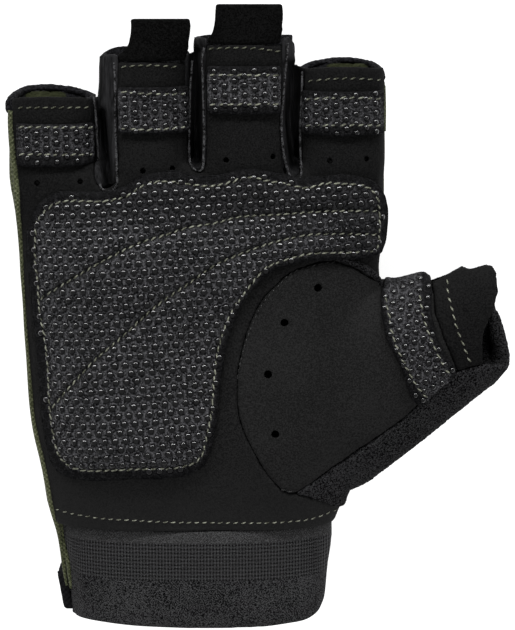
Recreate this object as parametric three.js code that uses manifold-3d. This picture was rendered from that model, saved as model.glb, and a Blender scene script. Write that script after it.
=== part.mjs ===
// A fingerless weightlifting glove for the right hand, lying on its back with the palm up.
// X runs towards the thumb, Y towards the fingers and Z up. The origin is on the surface
// that the glove lies on, under the middle of the palm. All sizes are in millimetres.
import * as THREE from 'three';
import { mergeVertices } from 'three/addons/utils/BufferGeometryUtils.js';
import Module from 'manifold-3d';

const wasm = await Module();
wasm.setup();

// Materials' thicknesses and the small gap that every seam keeps
const SEAM = 0.3;
const WALL = 1.6;
const PAD = 2.0;
const BAND = 1.2;
const STRAP = 2.4;

// Fingers from the little one to the index: tube width and thickness, length past the web,
// how far the back edge arches past the front hem, where the grip band begins and ends
// on the tube, measured back from the hem, and how far the root leans towards the middle
const FINGERS = [
  { name: 'little', width: 22.6, thick: 17.5, length: 16.7, arch: 3.0, bandStart: 16.4, bandEnd: 5.9, lean: 2.6 },
  { name: 'ring', width: 23.5, thick: 18.5, length: 27.7, arch: 2.4, bandStart: 18.8, bandEnd: 7.4, lean: 0.8 },
  { name: 'middle', width: 26.2, thick: 19.5, length: 32.1, arch: 2.0, bandStart: 18.1, bandEnd: 6.4, lean: 0 },
  { name: 'index', width: 22.4, thick: 18.5, length: 24.4, arch: 2.6, bandStart: 16.0, bandEnd: 5.3, lean: -1.6 },
];
const FINGER_GAP = 0.8;
const FINGER_ROOT = 24;
const HEM_ARCH = 0.9;
const BINDING = 3.2;

// Palm, wrist and thumb
const PALM_LENGTH = 93.5;
const PALM_THICK = 31;
const CUFF_LENGTH = 26;
const CUFF_THICK = 28.2;
const THUMB_REACH = 34.5;
const THUMB_SPREAD = 55;
const THUMB_THICK = 26;

// Pull tabs that go on from the palm side of two fingers: width, how far each stands past the
// hem, and how far its right edge lies outside the front's
const TABS = [
  { finger: 'ring', width: 15.2, reach: 9.6, right: 0.9 },
  { finger: 'middle', width: 17.2, reach: 9.0, right: 0.1 },
];
const TAB_SEAM = 1.9;
const TAB_DROP = 1.2;

// Pull tab from its seam (0) to its end (1): flare is how much of the side fillet is left, and
// flat how far the round of the finger has flattened out
const TAB_ROWS = [
  { at: 0.0, flare: 1.0, flat: 0.0 },
  { at: 0.13, flare: 1.0, flat: 0.12 },
  { at: 0.21, flare: 0.55, flat: 0.28 },
  { at: 0.3, flare: 0.25, flat: 0.45 },
  { at: 0.43, flare: 0.05, flat: 0.7 },
  { at: 0.7, flare: 0.0, flat: 0.92 },
  { at: 1.0, flare: 0.0, flat: 1.0 },
];

// Hollows run past the openings by this much, so that every opening is clean
const RUN_OUT = 16;

// Palm outline: at runs from the wrist (0) to the web (1), left and right are shares of the
// hand's width from its middle, thick is a share of the palm's thickness, and lift is a share
// of the wrist strap's thickness that the back rises by
const PALM_ROWS = [
  { at: 0.0, left: -0.397, right: 0.374, thick: 0.93, lift: 1.0 },
  { at: 0.05, left: -0.41, right: 0.391, thick: 0.955, lift: 0.9 },
  { at: 0.14, left: -0.421, right: 0.412, thick: 1.0, lift: 0.4 },
  { at: 0.24, left: -0.437, right: 0.43, thick: 1.0, lift: 0.0 },
  { at: 0.4, left: -0.455, right: 0.455, thick: 0.95, lift: 0.0 },
  { at: 0.57, left: -0.465, right: 0.477, thick: 0.9, lift: 0.0 },
  { at: 0.72, left: -0.471, right: 0.486, thick: 0.87, lift: 0.0 },
  { at: 0.81, left: -0.476, right: 0.496, thick: 0.83, lift: 0.0 },
  { at: 0.9, left: -0.486, right: 0.5, thick: 0.755, lift: 0.0 },
  { at: 0.97, left: -0.491, right: 0.497, thick: 0.68, lift: 0.0 },
  { at: 1.0, left: -0.484, right: 0.489, thick: 0.59, lift: 0.0 },
];

// Mounds and hollows of the palm: x is a share of the hand's width, at a share of the palm's
// length, reach a share of the hand's width and rise a share of the palm's thickness
const MOUNDS = [
  { x: 0.3, at: 0.36, reach: 0.17, rise: 0.1 },
  { x: -0.3, at: 0.28, reach: 0.16, rise: 0.05 },
  { x: 0.0, at: 0.5, reach: 0.15, rise: -0.08 },
  { x: 0.06, at: 0.1, reach: 0.1, rise: -0.05 },
];

// Finger tube: at runs from the root inside the palm (0) to the hem (1), and lean is the share
// of the root's lean that is left
const FINGER_ROWS = [
  { at: 0.0, wide: 0.88, thick: 1.2, lean: 1.0 },
  { at: 0.3, wide: 0.96, thick: 1.2, lean: 0.35 },
  { at: 0.5, wide: 1.0, thick: 1.13, lean: 0.0 },
  { at: 0.68, wide: 0.985, thick: 1.04, lean: 0.0 },
  { at: 0.84, wide: 0.98, thick: 1.0, lean: 0.0 },
  { at: 1.0, wide: 1.0, thick: 0.97, lean: 0.0 },
];

// Elastic cuff: at runs from the palm's edge (0) to the open end (1)
const CUFF_ROWS = [
  { at: -0.08, left: -0.389, right: 0.366, thick: 1.0 },
  { at: 0.0, left: -0.388, right: 0.365, thick: 1.0 },
  { at: 0.2, left: -0.381, right: 0.365, thick: 1.0 },
  { at: 0.48, left: -0.365, right: 0.354, thick: 0.99 },
  { at: 0.8, left: -0.354, right: 0.346, thick: 0.985 },
  { at: 1.0, left: -0.35, right: 0.338, thick: 0.97 },
];

// Thumb tube between an upper edge on the finger side and a lower edge on the wrist side:
// x columns are shares of the thumb's reach past the palm, y columns are shares of its spread
// from the web, thick is a share of its thickness and lift a share of the wall
const THUMB_ROWS = [
  { upX: -0.72, upY: -0.14, lowX: -0.72, lowY: -0.87, thick: 0.98, lift: 0 },
  { upX: -0.3, upY: 0.0, lowX: -0.33, lowY: -0.985, thick: 1.06, lift: 0 },
  { upX: 0.0, upY: 0.0, lowX: -0.07, lowY: -0.945, thick: 1.06, lift: 0 },
  { upX: 0.12, upY: 0.005, lowX: 0.17, lowY: -0.832, thick: 1.0, lift: 0 },
  { upX: 0.29, upY: 0.035, lowX: 0.44, lowY: -0.695, thick: 0.96, lift: 0.2 },
  { upX: 0.49, upY: 0.065, lowX: 0.67, lowY: -0.572, thick: 0.93, lift: 0.5 },
  { upX: 0.69, upY: 0.09, lowX: 0.84, lowY: -0.485, thick: 0.9, lift: 0.8 },
  { upX: 0.87, upY: 0.1, lowX: 1.0, lowY: -0.41, thick: 0.87, lift: 1.0 },
  { upX: 1.05, upY: 0.11, lowX: 1.16, lowY: -0.35, thick: 0.85, lift: 1.1 },
];
const THUMB_RUN_OUT_ROW = { upX: 1.5, upY: 0.15, lowX: 1.55, lowY: -0.3, thick: 0.85, lift: 1.1 };

// Height of the side seam between palm and back, as shares of the palm's thickness at the
// little finger's side, between the fingers and at the thumb's side, and the share of the
// hand's width that each side's height holds for
const SIDE_SEAM_ROWS = [
  { at: -0.5, left: 0.56, inner: 0.3, right: 0.28, edge: 0.25 },
  { at: -0.06, left: 0.565, inner: 0.35, right: 0.34, edge: 0.25 },
  { at: 0.05, left: 0.58, inner: 0.43, right: 0.42, edge: 0.25 },
  { at: 0.2, left: 0.61, inner: 0.43, right: 0.43, edge: 0.25 },
  { at: 0.5, left: 0.57, inner: 0.42, right: 0.42, edge: 0.22 },
  { at: 0.8, left: 0.52, inner: 0.38, right: 0.4, edge: 0.15 },
  { at: 0.97, left: 0.42, inner: 0.16, right: 0.35, edge: 0.07 },
  { at: 1.6, left: 0.36, inner: 0.15, right: 0.33, edge: 0.07 },
];

// Where the wrist strap ends on each side, as shares of the cuff's thickness
const STRAP_ROWS = [
  { at: -0.5, left: 0.55, inner: 0.3, right: 0.4, edge: 0.25 },
  { at: -0.16, left: 0.55, inner: 0.3, right: 0.4, edge: 0.25 },
  { at: -0.14, left: 0.3, inner: 0.3, right: 0.4, edge: 0.25 },
  { at: 0.05, left: 0.25, inner: 0.3, right: 0.4, edge: 0.25 },
];
const STRAP_START = 0.12;
const STRAP_END = 0.985;
const BACK_END = 0.76;

// Channels between the fingers, seen from the palm: how far each reaches to either side of
// the gap's middle, and how far its round end lies past or short of the web
const CHANNELS = [
  { between: 'little_ring', left: 0.3, right: 5.6, end: -5.2 },
  { between: 'ring_middle', left: 0.4, right: 3.9, end: -1.2 },
  { between: 'middle_index', left: 3.9, right: 1.0, end: -2.8 },
];
const GUSSET_SIDE = 5.5;
const GUSSET_TOP = 0.7;

// Outlines in plan: x is a share of the hand's width from its middle, y a share of the palm's
// length from the origin
const GRIP_PAD_OUTLINE = [
  [-0.447, 0.27], [-0.44, 0.16], [-0.424, 0.01], [-0.413, -0.16], [-0.4, -0.29], [-0.372, -0.365],
  [-0.3, -0.382], [-0.17, -0.372], [-0.05, -0.37], [0.018, -0.34], [0.045, -0.265], [0.062, -0.12],
  [0.078, -0.015], [0.115, 0.095], [0.165, 0.165], [0.22, 0.205], [0.3, 0.222], [0.39, 0.222],
  [0.468, 0.23], [0.484, 0.31], [0.478, 0.385], [0.44, 0.437], [0.38, 0.45], [0.29, 0.437],
  [0.22, 0.45], [0.145, 0.468], [0.08, 0.455], [0.02, 0.443], [-0.06, 0.457], [-0.14, 0.445],
  [-0.185, 0.415], [-0.25, 0.402], [-0.35, 0.402], [-0.405, 0.375], [-0.435, 0.325],
];
const THUMB_SIDE_OUTLINE = [
  [0.272, 0.199], [0.236, 0.178], [0.172, 0.112], [0.133, 0.023], [0.111, -0.076], [0.109, -0.167],
  [0.117, -0.22], [0.145, -0.29], [0.19, -0.37], [0.232, -0.418], [0.27, -0.425],
];
const THUMB_SIDE_TOP = [[0.42, 0.19], [0.366, 0.213], [0.32, 0.213]];
const HEEL_CORNER = [0.392, -0.476];
const WEB_CORNER = [0.488, 0.134];
const TERRY_LINE = [[0.262, -0.426], [0.405, -0.328], [0.541, -0.23], [0.585, -0.19], [0.682, -0.096], [0.728, -0.083], [0.765, -0.073]];
const HEM_LINE = [[0.63, 0.3], [0.622, 0.15], [0.632, 0.06], [0.655, 0.0], [0.705, -0.13]];
const TIP_FRONT = [[0.79, 0.3], [0.79, 0.175], [0.787, 0.08], [0.763, 0.03], [0.757, -0.017], [0.764, -0.073], [0.775, -0.2]];
const TIP_BACK = [[0.8, 0.3], [0.802, 0.18], [0.82, 0.018], [0.842, -0.075], [0.838, -0.13], [0.87, -0.3]];
const THUMB_BACK_SEAM = [[0.488, 0.13], [0.6, 0.26], [1.1, 0.26], [1.1, -0.48], [0.31, -0.48]];
const THUMB_GRIP_OUTLINE = [
  [0.5, 0.145], [0.488, 0.098], [0.505, 0.0], [0.541, -0.078], [0.587, -0.186], [0.64, -0.142],
  [0.684, -0.093], [0.65, -0.035], [0.634, 0.004], [0.618, 0.075], [0.615, 0.16], [0.56, 0.17],
];

// Air holes through the leather: x and y as in the outlines, and their diameters
const PALM_HOLE = 1.6;
const PALM_HOLES = [
  [-0.432, 0.423], [-0.317, 0.428], [-0.146, 0.459], [-0.068, 0.466],
  [0.075, 0.49], [0.201, 0.5], [0.353, 0.488], [0.452, 0.493],
];
const THUMB_HOLE = 2.4;
const THUMB_HOLES = [[0.325, 0.154], [0.236, 0.057], [0.195, -0.082], [0.214, -0.25]];

const gapCount = FINGERS.length - 1;
const handWidth = FINGERS.reduce((sum, finger) => sum + finger.width, 0) + gapCount * FINGER_GAP;
const heelY = -0.535 * PALM_LENGTH;
const webY = heelY + PALM_LENGTH;
const backLift = STRAP + SEAM;

// Points round one section: half its width, the height of its top and of its flat floor
const SIDES = { palm: 32, finger: 20, thumb: 22 };
const FLATTEN = 2.2;

function sectionRing({ centre, along, half, top, floor, count, power }) {
  const middle = floor + (top - floor) * 0.45;
  const drop = middle - floor + FLATTEN;
  const points = [];
  for (let i = 0; i < count; i += 1) {
    const angle = (2 * Math.PI * i) / count;
    const c = Math.cos(angle);
    const s = Math.sin(angle);
    const across = half * Math.sign(c) * Math.abs(c) ** (2 / power);
    const rise = Math.abs(s) ** (2 / power);
    const z = s >= 0 ? middle + (top - middle) * rise : Math.max(floor, middle - drop * rise);
    points.push(new THREE.Vector3(centre.x + along.x * across, centre.y + along.y * across, z));
  }
  return points;
}

// A closed skin through rings with as many points each, with a flat cap at either end
function loft(rings) {
  const count = rings[0].length;
  const positions = [];
  const index = [];
  for (const ring of rings) {
    for (const point of ring) positions.push(point.x, point.y, point.z);
  }
  for (let r = 0; r < rings.length - 1; r += 1) {
    for (let i = 0; i < count; i += 1) {
      const a = r * count + i;
      const b = r * count + ((i + 1) % count);
      index.push(a, b, b + count, a, b + count, a + count);
    }
  }
  const ends = [
    { ring: rings[0], start: 0, turned: true },
    { ring: rings[rings.length - 1], start: (rings.length - 1) * count, turned: false },
  ];
  for (const end of ends) {
    const hub = new THREE.Vector3();
    for (const point of end.ring) hub.addScaledVector(point, 1 / count);
    const hubIndex = positions.length / 3;
    positions.push(hub.x, hub.y, hub.z);
    for (let i = 0; i < count; i += 1) {
      const a = end.start + i;
      const b = end.start + ((i + 1) % count);
      if (end.turned) index.push(hubIndex, b, a);
      else index.push(hubIndex, a, b);
    }
  }
  const geometry = new THREE.BufferGeometry();
  geometry.setAttribute('position', new THREE.Float32BufferAttribute(positions, 3));
  geometry.setIndex(index);
  return toSolid(geometry);
}

function toSolid(geometry) {
  const bare = geometry.clone();
  bare.deleteAttribute('normal');
  bare.deleteAttribute('uv');
  const merged = mergeVertices(bare, 1e-4);
  const mesh = new wasm.Mesh({
    numProp: 3,
    vertProperties: new Float32Array(merged.attributes.position.array),
    triVerts: new Uint32Array(merged.index.array),
  });
  const solid = new wasm.Manifold(mesh);
  return solid.volume() < 0 ? flipped(merged) : solid;
}

function flipped(geometry) {
  const order = Array.from(geometry.index.array);
  for (let i = 0; i < order.length; i += 3) {
    [order[i + 1], order[i + 2]] = [order[i + 2], order[i + 1]];
  }
  const mesh = new wasm.Mesh({
    numProp: 3,
    vertProperties: new Float32Array(geometry.attributes.position.array),
    triVerts: new Uint32Array(order),
  });
  return new wasm.Manifold(mesh);
}

function union(solids) {
  return solids.reduce((whole, solid) => whole.add(solid));
}

// The hollow or skin forms. Each takes an inset: positive shrinks it, negative grows it.
function moundsAt(x, y) {
  let rise = 0;
  for (const mound of MOUNDS) {
    const dx = (x - mound.x * handWidth) / (mound.reach * handWidth);
    const dy = (y - heelY - mound.at * PALM_LENGTH) / (mound.reach * handWidth);
    rise += mound.rise * PALM_THICK * Math.exp(-0.5 * (dx * dx + dy * dy));
  }
  return rise;
}

function raised(ring, floor, top) {
  const middle = floor + (top - floor) * 0.45;
  for (const point of ring) {
    const share = THREE.MathUtils.smoothstep(point.z, middle, top);
    point.z += share * moundsAt(point.x, point.y);
  }
  return ring;
}

function palmForm(inset, runOut = 0) {
  const rows = PALM_ROWS.map((row) => ({ ...row, y: heelY + row.at * PALM_LENGTH }));
  for (const row of rows) if (row.at > 0.95) row.y -= inset;
  if (runOut > 0) rows.unshift({ ...rows[0], y: rows[0].y - runOut });
  return loft(rows.map((row) => {
    const left = row.left * handWidth + inset;
    const right = row.right * handWidth - inset;
    const floor = row.lift * backLift + inset;
    const top = row.thick * PALM_THICK - inset;
    const centre = new THREE.Vector2((left + right) / 2, row.y);
    const along = new THREE.Vector2(-1, 0);
    const ring = sectionRing({
      centre, along, half: (right - left) / 2, top, floor, count: SIDES.palm, power: 2.7,
    });
    return raised(ring, floor, top);
  }));
}

function cuffForm(inset, runOut = 0, floorInset = inset) {
  const rows = CUFF_ROWS.map((row) => ({ ...row, y: heelY - row.at * CUFF_LENGTH }));
  if (runOut > 0) {
    rows.unshift({ ...rows[0], y: rows[0].y + SEAM });
    rows.push({ ...rows[rows.length - 1], y: rows[rows.length - 1].y - runOut });
  }
  return loft(rows.map((row) => {
    const left = row.left * handWidth + inset;
    const right = row.right * handWidth - inset;
    const centre = new THREE.Vector2((left + right) / 2, row.y);
    return sectionRing({
      centre,
      along: new THREE.Vector2(1, 0),
      half: (right - left) / 2,
      top: row.thick * CUFF_THICK - inset,
      floor: backLift + floorInset,
      count: SIDES.palm,
      power: 2.5,
    });
  }));
}

function fingerCentre(index) {
  let x = -handWidth / 2;
  for (let i = 0; i < index; i += 1) x += FINGERS[i].width + FINGER_GAP;
  return x + FINGERS[index].width / 2;
}

function gapMiddle(index) {
  return fingerCentre(index) + FINGERS[index].width / 2 + FINGER_GAP / 2;
}

function hemY(index) {
  return webY + FINGERS[index].length;
}

function fingerForm(index, inset, runOut = 0) {
  const finger = FINGERS[index];
  const start = webY - FINGER_ROOT;
  const end = hemY(index);
  const rows = FINGER_ROWS.map((row) => ({ ...row, y: THREE.MathUtils.lerp(start, end, row.at) }));
  const last = rows[rows.length - 1];
  rows.push({ ...last, y: last.y + (runOut > 0 ? runOut : finger.arch) });
  return loft(rows.map((row) => sectionRing({
    centre: new THREE.Vector2(fingerCentre(index) + row.lean * finger.lean, row.y),
    along: new THREE.Vector2(-1, 0),
    half: (row.wide * finger.width) / 2 - inset,
    top: row.thick * finger.thick - inset,
    floor: inset,
    count: SIDES.finger,
    power: 2.6,
  })));
}

function thumbForm(inset, runOut = 0) {
  const rootX = WEB_CORNER[0] * handWidth;
  const rootY = WEB_CORNER[1] * PALM_LENGTH;
  const rows = runOut > 0 ? [...THUMB_ROWS, THUMB_RUN_OUT_ROW] : THUMB_ROWS;
  return loft(rows.map((row) => {
    const upper = new THREE.Vector2(rootX + row.upX * THUMB_REACH, rootY + row.upY * THUMB_SPREAD);
    const lower = new THREE.Vector2(rootX + row.lowX * THUMB_REACH, rootY + row.lowY * THUMB_SPREAD);
    const span = upper.clone().sub(lower);
    const half = span.length() / 2 - inset;
    return sectionRing({
      centre: upper.clone().add(lower).multiplyScalar(0.5),
      along: span.normalize(),
      half,
      top: row.thick * THUMB_THICK - inset,
      floor: row.lift * WALL + inset,
      count: SIDES.thumb,
      power: 2.35,
    });
  }));
}

function gloveForm(inset, runOut = 0) {
  const fingers = FINGERS.map((finger, index) => fingerForm(index, inset, runOut));
  return union([palmForm(inset, runOut), thumbForm(inset, runOut), ...fingers]);
}

// Prisms over outlines in plan, grown by a margin
function planPoint([x, y]) {
  return new THREE.Vector2(x * handWidth, y * PALM_LENGTH);
}

function grown(points, margin) {
  if (margin === 0) return points;
  const turn = THREE.ShapeUtils.area(points) > 0 ? 1 : -1;
  return points.map((point, i) => {
    const before = points[(i + points.length - 1) % points.length];
    const after = points[(i + 1) % points.length];
    const first = point.clone().sub(before).normalize();
    const second = after.clone().sub(point).normalize();
    const normal = new THREE.Vector2(first.y + second.y, -first.x - second.x).normalize();
    const lean = Math.max(0.35, normal.dot(new THREE.Vector2(second.y, -second.x)));
    return point.clone().addScaledVector(normal, (turn * margin) / lean);
  });
}

function prism(points, bottom = -5, top = 2 * PALM_THICK) {
  const shape = new THREE.Shape(points);
  const geometry = new THREE.ExtrudeGeometry(shape, { depth: top - bottom, bevelEnabled: false });
  geometry.translate(0, 0, bottom);
  return toSolid(geometry);
}

function smoothOutline(shares, steps) {
  const points = shares.map(planPoint).map((point) => new THREE.Vector3(point.x, point.y, 0));
  const curve = new THREE.CatmullRomCurve3(points, true, 'centripetal');
  return curve.getPoints(steps).slice(0, -1).map((point) => new THREE.Vector2(point.x, point.y));
}

function smoothLine(shares, steps) {
  const curve = new THREE.SplineCurve(shares.map(planPoint));
  return curve.getPoints(steps);
}

// A block under a seam line that is high at the little finger's side and low between the
// fingers, moved up by a margin
function zoneUnder(rows, thick, margin) {
  const half = handWidth / 2;
  const slope = 0.07 * handWidth;
  return loft(rows.map((row) => {
    const y = heelY + row.at * PALM_LENGTH;
    const edge = row.edge * handWidth;
    const corners = [
      [-2 * half, -5],
      [-2 * half, row.left * thick + margin],
      [-half + edge, row.left * thick + margin],
      [-half + edge + slope, row.inner * thick + margin],
      [half - edge - slope, row.inner * thick + margin],
      [half - edge, row.right * thick + margin],
      [2.4 * half, row.right * thick + margin],
      [2.4 * half, -5],
    ];
    return corners.map(([x, z]) => new THREE.Vector3(x, y, z));
  }));
}

const backZone = (margin) => zoneUnder(SIDE_SEAM_ROWS, PALM_THICK, margin);

// What is cut away past a finger's edge, which arches in the middle
function pastEdge(index, back, arch) {
  const left = index === 0 ? -handWidth : gapMiddle(index - 1);
  const right = index === gapCount ? handWidth : gapMiddle(index);
  const centre = fingerCentre(index);
  const half = FINGERS[index].width / 2;
  const base = hemY(index) - back;
  const points = [new THREE.Vector2(left, base)];
  for (let step = -4; step <= 4; step += 1) {
    const share = step / 4;
    points.push(new THREE.Vector2(centre + share * half * 0.97, base + arch * (1 - share * share)));
  }
  points.push(new THREE.Vector2(right, base));
  points.push(new THREE.Vector2(right, base + RUN_OUT + 40));
  points.push(new THREE.Vector2(left, base + RUN_OUT + 40));
  return prism(points);
}

// Height of a finger's palm side near its hem
function fingerTop(index, x, inset) {
  const finger = FINGERS[index];
  const top = FINGER_ROWS[FINGER_ROWS.length - 1].thick * finger.thick - inset;
  const middle = inset + (top - inset) * 0.45;
  const share = Math.min(1, Math.abs(x - fingerCentre(index)) / (finger.width / 2 - inset));
  return middle + (top - middle) * (1 - share ** 2.6) ** (1 / 2.6);
}

// A plate that leaves the round palm side of a finger and flattens out past its hem
function pullTab(index, tab) {
  const start = hemY(index) - TAB_SEAM + SEAM;
  const length = tab.reach + TAB_SEAM - SEAM;
  const frontLeft = gapMiddle(index - 1) + CHANNELS[index - 1].right + SEAM;
  const frontRight = gapMiddle(index) - Math.max(CHANNELS[index].left, FINGER_GAP) - SEAM;
  const tabRight = frontRight + tab.right;
  const steps = 6;
  const flatTop = FINGERS[index].thick - TAB_DROP;
  const lowest = GUSSET_TOP * FINGERS[index].thick + SEAM + WALL;
  return loft(TAB_ROWS.map((row) => {
    const y = start + row.at * length;
    const right = THREE.MathUtils.lerp(frontRight, tabRight, row.at);
    const left = THREE.MathUtils.lerp(tabRight - tab.width, frontLeft, row.flare);
    const sides = [];
    for (const inset of [0, WALL]) {
      const side = [];
      for (let step = 0; step <= steps; step += 1) {
        const x = THREE.MathUtils.lerp(left, right, step / steps);
        const round = fingerTop(index, THREE.MathUtils.clamp(x, frontLeft, frontRight), 0);
        const z = THREE.MathUtils.lerp(Math.max(round, lowest), flatTop, row.flat) - inset;
        side.push(new THREE.Vector3(x, y + HEM_ARCH * (1 - row.at), z));
      }
      sides.push(side);
    }
    return [...sides[0], ...sides[1].reverse()];
  }));
}

function channelOutline(index, margin) {
  const channel = CHANNELS[index];
  const left = gapMiddle(index) - channel.left - margin;
  const right = gapMiddle(index) + channel.right + margin;
  const half = (right - left) / 2;
  const bottom = webY + channel.end - margin;
  const far = webY + 2 * FINGERS[1].length;
  const points = [new THREE.Vector2(right, far), new THREE.Vector2(left, far)];
  for (let step = 0; step <= 8; step += 1) {
    const angle = Math.PI + (Math.PI * step) / 8;
    points.push(new THREE.Vector2(left + half + half * Math.cos(angle), bottom + half + half * Math.sin(angle)));
  }
  return points;
}

// A gusset is the channel seen from the palm and the facing walls of both fingers below it
function gussetZone(index, margin) {
  const middle = gapMiddle(index);
  const bottom = webY - WALL - 2 * SEAM - margin;
  const far = webY + 2 * FINGERS[1].length;
  const side = GUSSET_SIDE + margin;
  const high = GUSSET_TOP * FINGERS[index].thick + margin;
  const facing = [
    new THREE.Vector2(middle - side, bottom),
    new THREE.Vector2(middle + side, bottom),
    new THREE.Vector2(middle + side, far),
    new THREE.Vector2(middle - side, far),
  ];
  return prism(channelOutline(index, margin)).add(prism(facing, -5, high));
}

function bindingZone(index, margin) {
  const left = index === 0 ? -handWidth : gapMiddle(index - 1);
  const right = index === gapCount ? handWidth : gapMiddle(index);
  const bottom = hemY(index) - BINDING - margin;
  const points = [
    new THREE.Vector2(left, bottom),
    new THREE.Vector2(right, bottom),
    new THREE.Vector2(right, bottom + RUN_OUT + 40),
    new THREE.Vector2(left, bottom + RUN_OUT + 40),
  ];
  return prism(points);
}

function thumbSide(margin) {
  const far = 1.2 * handWidth;
  const line = smoothLine(THUMB_SIDE_OUTLINE, 26);
  const top = smoothLine(THUMB_SIDE_TOP, 4);
  const web = planPoint(WEB_CORNER);
  const heel = planPoint(HEEL_CORNER);
  const points = [
    ...line,
    heel,
    new THREE.Vector2(far, heel.y),
    new THREE.Vector2(far, web.y + 30),
    new THREE.Vector2(web.x + 12, web.y + 30),
    web,
    ...top,
  ];
  return prism(grown(points, margin));
}

function terryFront(margin) {
  const far = 1.2 * handWidth;
  const line = TERRY_LINE.map(planPoint);
  const heel = planPoint(HEEL_CORNER);
  const points = [...line, new THREE.Vector2(far, line[line.length - 1].y), new THREE.Vector2(far, heel.y), heel];
  return prism(grown(points, margin), 0.3 * PALM_THICK - margin);
}

function rightOf(shares, margin) {
  const line = shares.map(planPoint).map((point) => new THREE.Vector2(point.x - margin, point.y));
  const far = 1.3 * handWidth;
  return prism([...line, new THREE.Vector2(far, line[line.length - 1].y), new THREE.Vector2(far, line[0].y)]);
}

function holes(places, diameter) {
  const drills = places.map(planPoint).map((point) => {
    const drill = new THREE.CylinderGeometry(diameter / 2, diameter / 2, PALM_THICK, 8);
    drill.rotateX(Math.PI / 2);
    drill.translate(point.x, point.y, PALM_THICK);
    return toSolid(drill);
  });
  return union(drills);
}

// The glove's skin, and the pieces that it is sewn from
const shell = gloveForm(0).subtract(gloveForm(WALL, RUN_OUT));
const cuffShell = cuffForm(0).subtract(cuffForm(WALL, RUN_OUT));
const seamHalf = SEAM / 2;
const thumbBackSeam = (margin) => prism(grown(THUMB_BACK_SEAM.map(planPoint), margin));
const terryZone = (margin) => backZone(margin).intersect(thumbBackSeam(margin)).add(terryFront(margin));
const gussetZones = CHANNELS.map((channel, index) => gussetZone(index, seamHalf));
const frontEnds = FINGERS.map((finger, index) => pastEdge(index, 0, HEM_ARCH));
const panelEnds = FINGERS.map((finger, index) => {
  const tabbed = TABS.some((tab) => tab.finger === finger.name);
  return pastEdge(index, tabbed ? TAB_SEAM : 0, HEM_ARCH);
});
const backEnds = FINGERS.map((finger, index) => pastEdge(index, 0, finger.arch));
const belowHeel = prism([
  new THREE.Vector2(-handWidth, heelY - SEAM),
  new THREE.Vector2(handWidth, heelY - SEAM),
  new THREE.Vector2(handWidth, heelY - 3 * CUFF_LENGTH),
  new THREE.Vector2(-handWidth, heelY - 3 * CUFF_LENGTH),
]);

const meshes = [];

function addPiece(name, solid, colour, roughness) {
  const data = solid.getMesh();
  const geometry = new THREE.BufferGeometry();
  geometry.setAttribute('position', new THREE.BufferAttribute(new Float32Array(data.vertProperties), 3));
  geometry.setIndex(new THREE.BufferAttribute(new Uint32Array(data.triVerts), 1));
  const material = new THREE.MeshStandardMaterial({ color: colour, roughness, metalness: 0 });
  const mesh = new THREE.Mesh(geometry, material);
  mesh.name = name;
  meshes.push(mesh);
}

const LEATHER = 0x1c1c1e;
const GRIP = 0x2c2c2f;
const FABRIC = 0x4b5532;
const ELASTIC = 0x37373a;

const palmPanel = shell
  .subtract(backZone(seamHalf))
  .subtract(thumbSide(seamHalf))
  .subtract(terryFront(seamHalf))
  .subtract(union(gussetZones))
  .subtract(union(panelEnds))
  .subtract(holes(PALM_HOLES, PALM_HOLE));
addPiece('palm_panel', palmPanel, LEATHER, 0.6);

const wristBack = cuffShell
  .intersect(backZone(-seamHalf))
  .subtract(prism([
    new THREE.Vector2(-handWidth, heelY - BACK_END * CUFF_LENGTH),
    new THREE.Vector2(handWidth, heelY - BACK_END * CUFF_LENGTH),
    new THREE.Vector2(handWidth, heelY - 3 * CUFF_LENGTH),
    new THREE.Vector2(-handWidth, heelY - 3 * CUFF_LENGTH),
  ]));
const handBack = shell
  .intersect(backZone(-seamHalf))
  .subtract(thumbBackSeam(seamHalf))
  .subtract(union(FINGERS.map((finger, index) => bindingZone(index, seamHalf))));
addPiece('back_panel', handBack.add(wristBack), FABRIC, 0.9);

CHANNELS.forEach((channel, index) => {
  const gusset = shell
    .intersect(gussetZone(index, -seamHalf))
    .subtract(backZone(seamHalf))
    .subtract(union(frontEnds));
  addPiece(`gusset_${channel.between}`, gusset, LEATHER, 0.5);
});

FINGERS.forEach((finger, index) => {
  const binding = shell
    .intersect(backZone(-seamHalf))
    .intersect(bindingZone(index, -seamHalf))
    .subtract(backEnds[index]);
  addPiece(`edge_binding_${finger.name}`, binding, LEATHER, 0.7);
});

FINGERS.forEach((finger, index) => {
  const start = hemY(index) - finger.bandStart;
  const end = hemY(index) - finger.bandEnd;
  const left = index === 0 ? -handWidth : gapMiddle(index - 1) + CHANNELS[index - 1].right + SEAM;
  const right = index === gapCount ? handWidth : gapMiddle(index) - CHANNELS[index].left - SEAM;
  const zone = prism([
    new THREE.Vector2(left, start),
    new THREE.Vector2(right, start),
    new THREE.Vector2(right, end),
    new THREE.Vector2(left, end),
  ], 0.8 * finger.thick);
  const band = fingerForm(index, -SEAM - BAND).subtract(fingerForm(index, -SEAM)).intersect(zone);
  addPiece(`finger_grip_${finger.name}`, band, GRIP, 0.5);
});

TABS.forEach((tab) => {
  const index = FINGERS.findIndex((finger) => finger.name === tab.finger);
  addPiece(`pull_tab_${tab.finger}`, pullTab(index, tab), LEATHER, 0.7);
});

const padLayer = gloveForm(-SEAM - PAD).subtract(gloveForm(-SEAM));
const gripPad = padLayer
  .intersect(prism(smoothOutline(GRIP_PAD_OUTLINE, 70), 0.5 * PALM_THICK));
addPiece('grip_pad', gripPad, GRIP, 0.5);

const thumbPad = shell
  .intersect(thumbSide(-seamHalf))
  .subtract(backZone(seamHalf))
  .subtract(terryFront(seamHalf))
  .subtract(rightOf(HEM_LINE, seamHalf))
  .subtract(holes(THUMB_HOLES, THUMB_HOLE));
addPiece('thumb_pad', thumbPad, LEATHER, 0.6);

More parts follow.
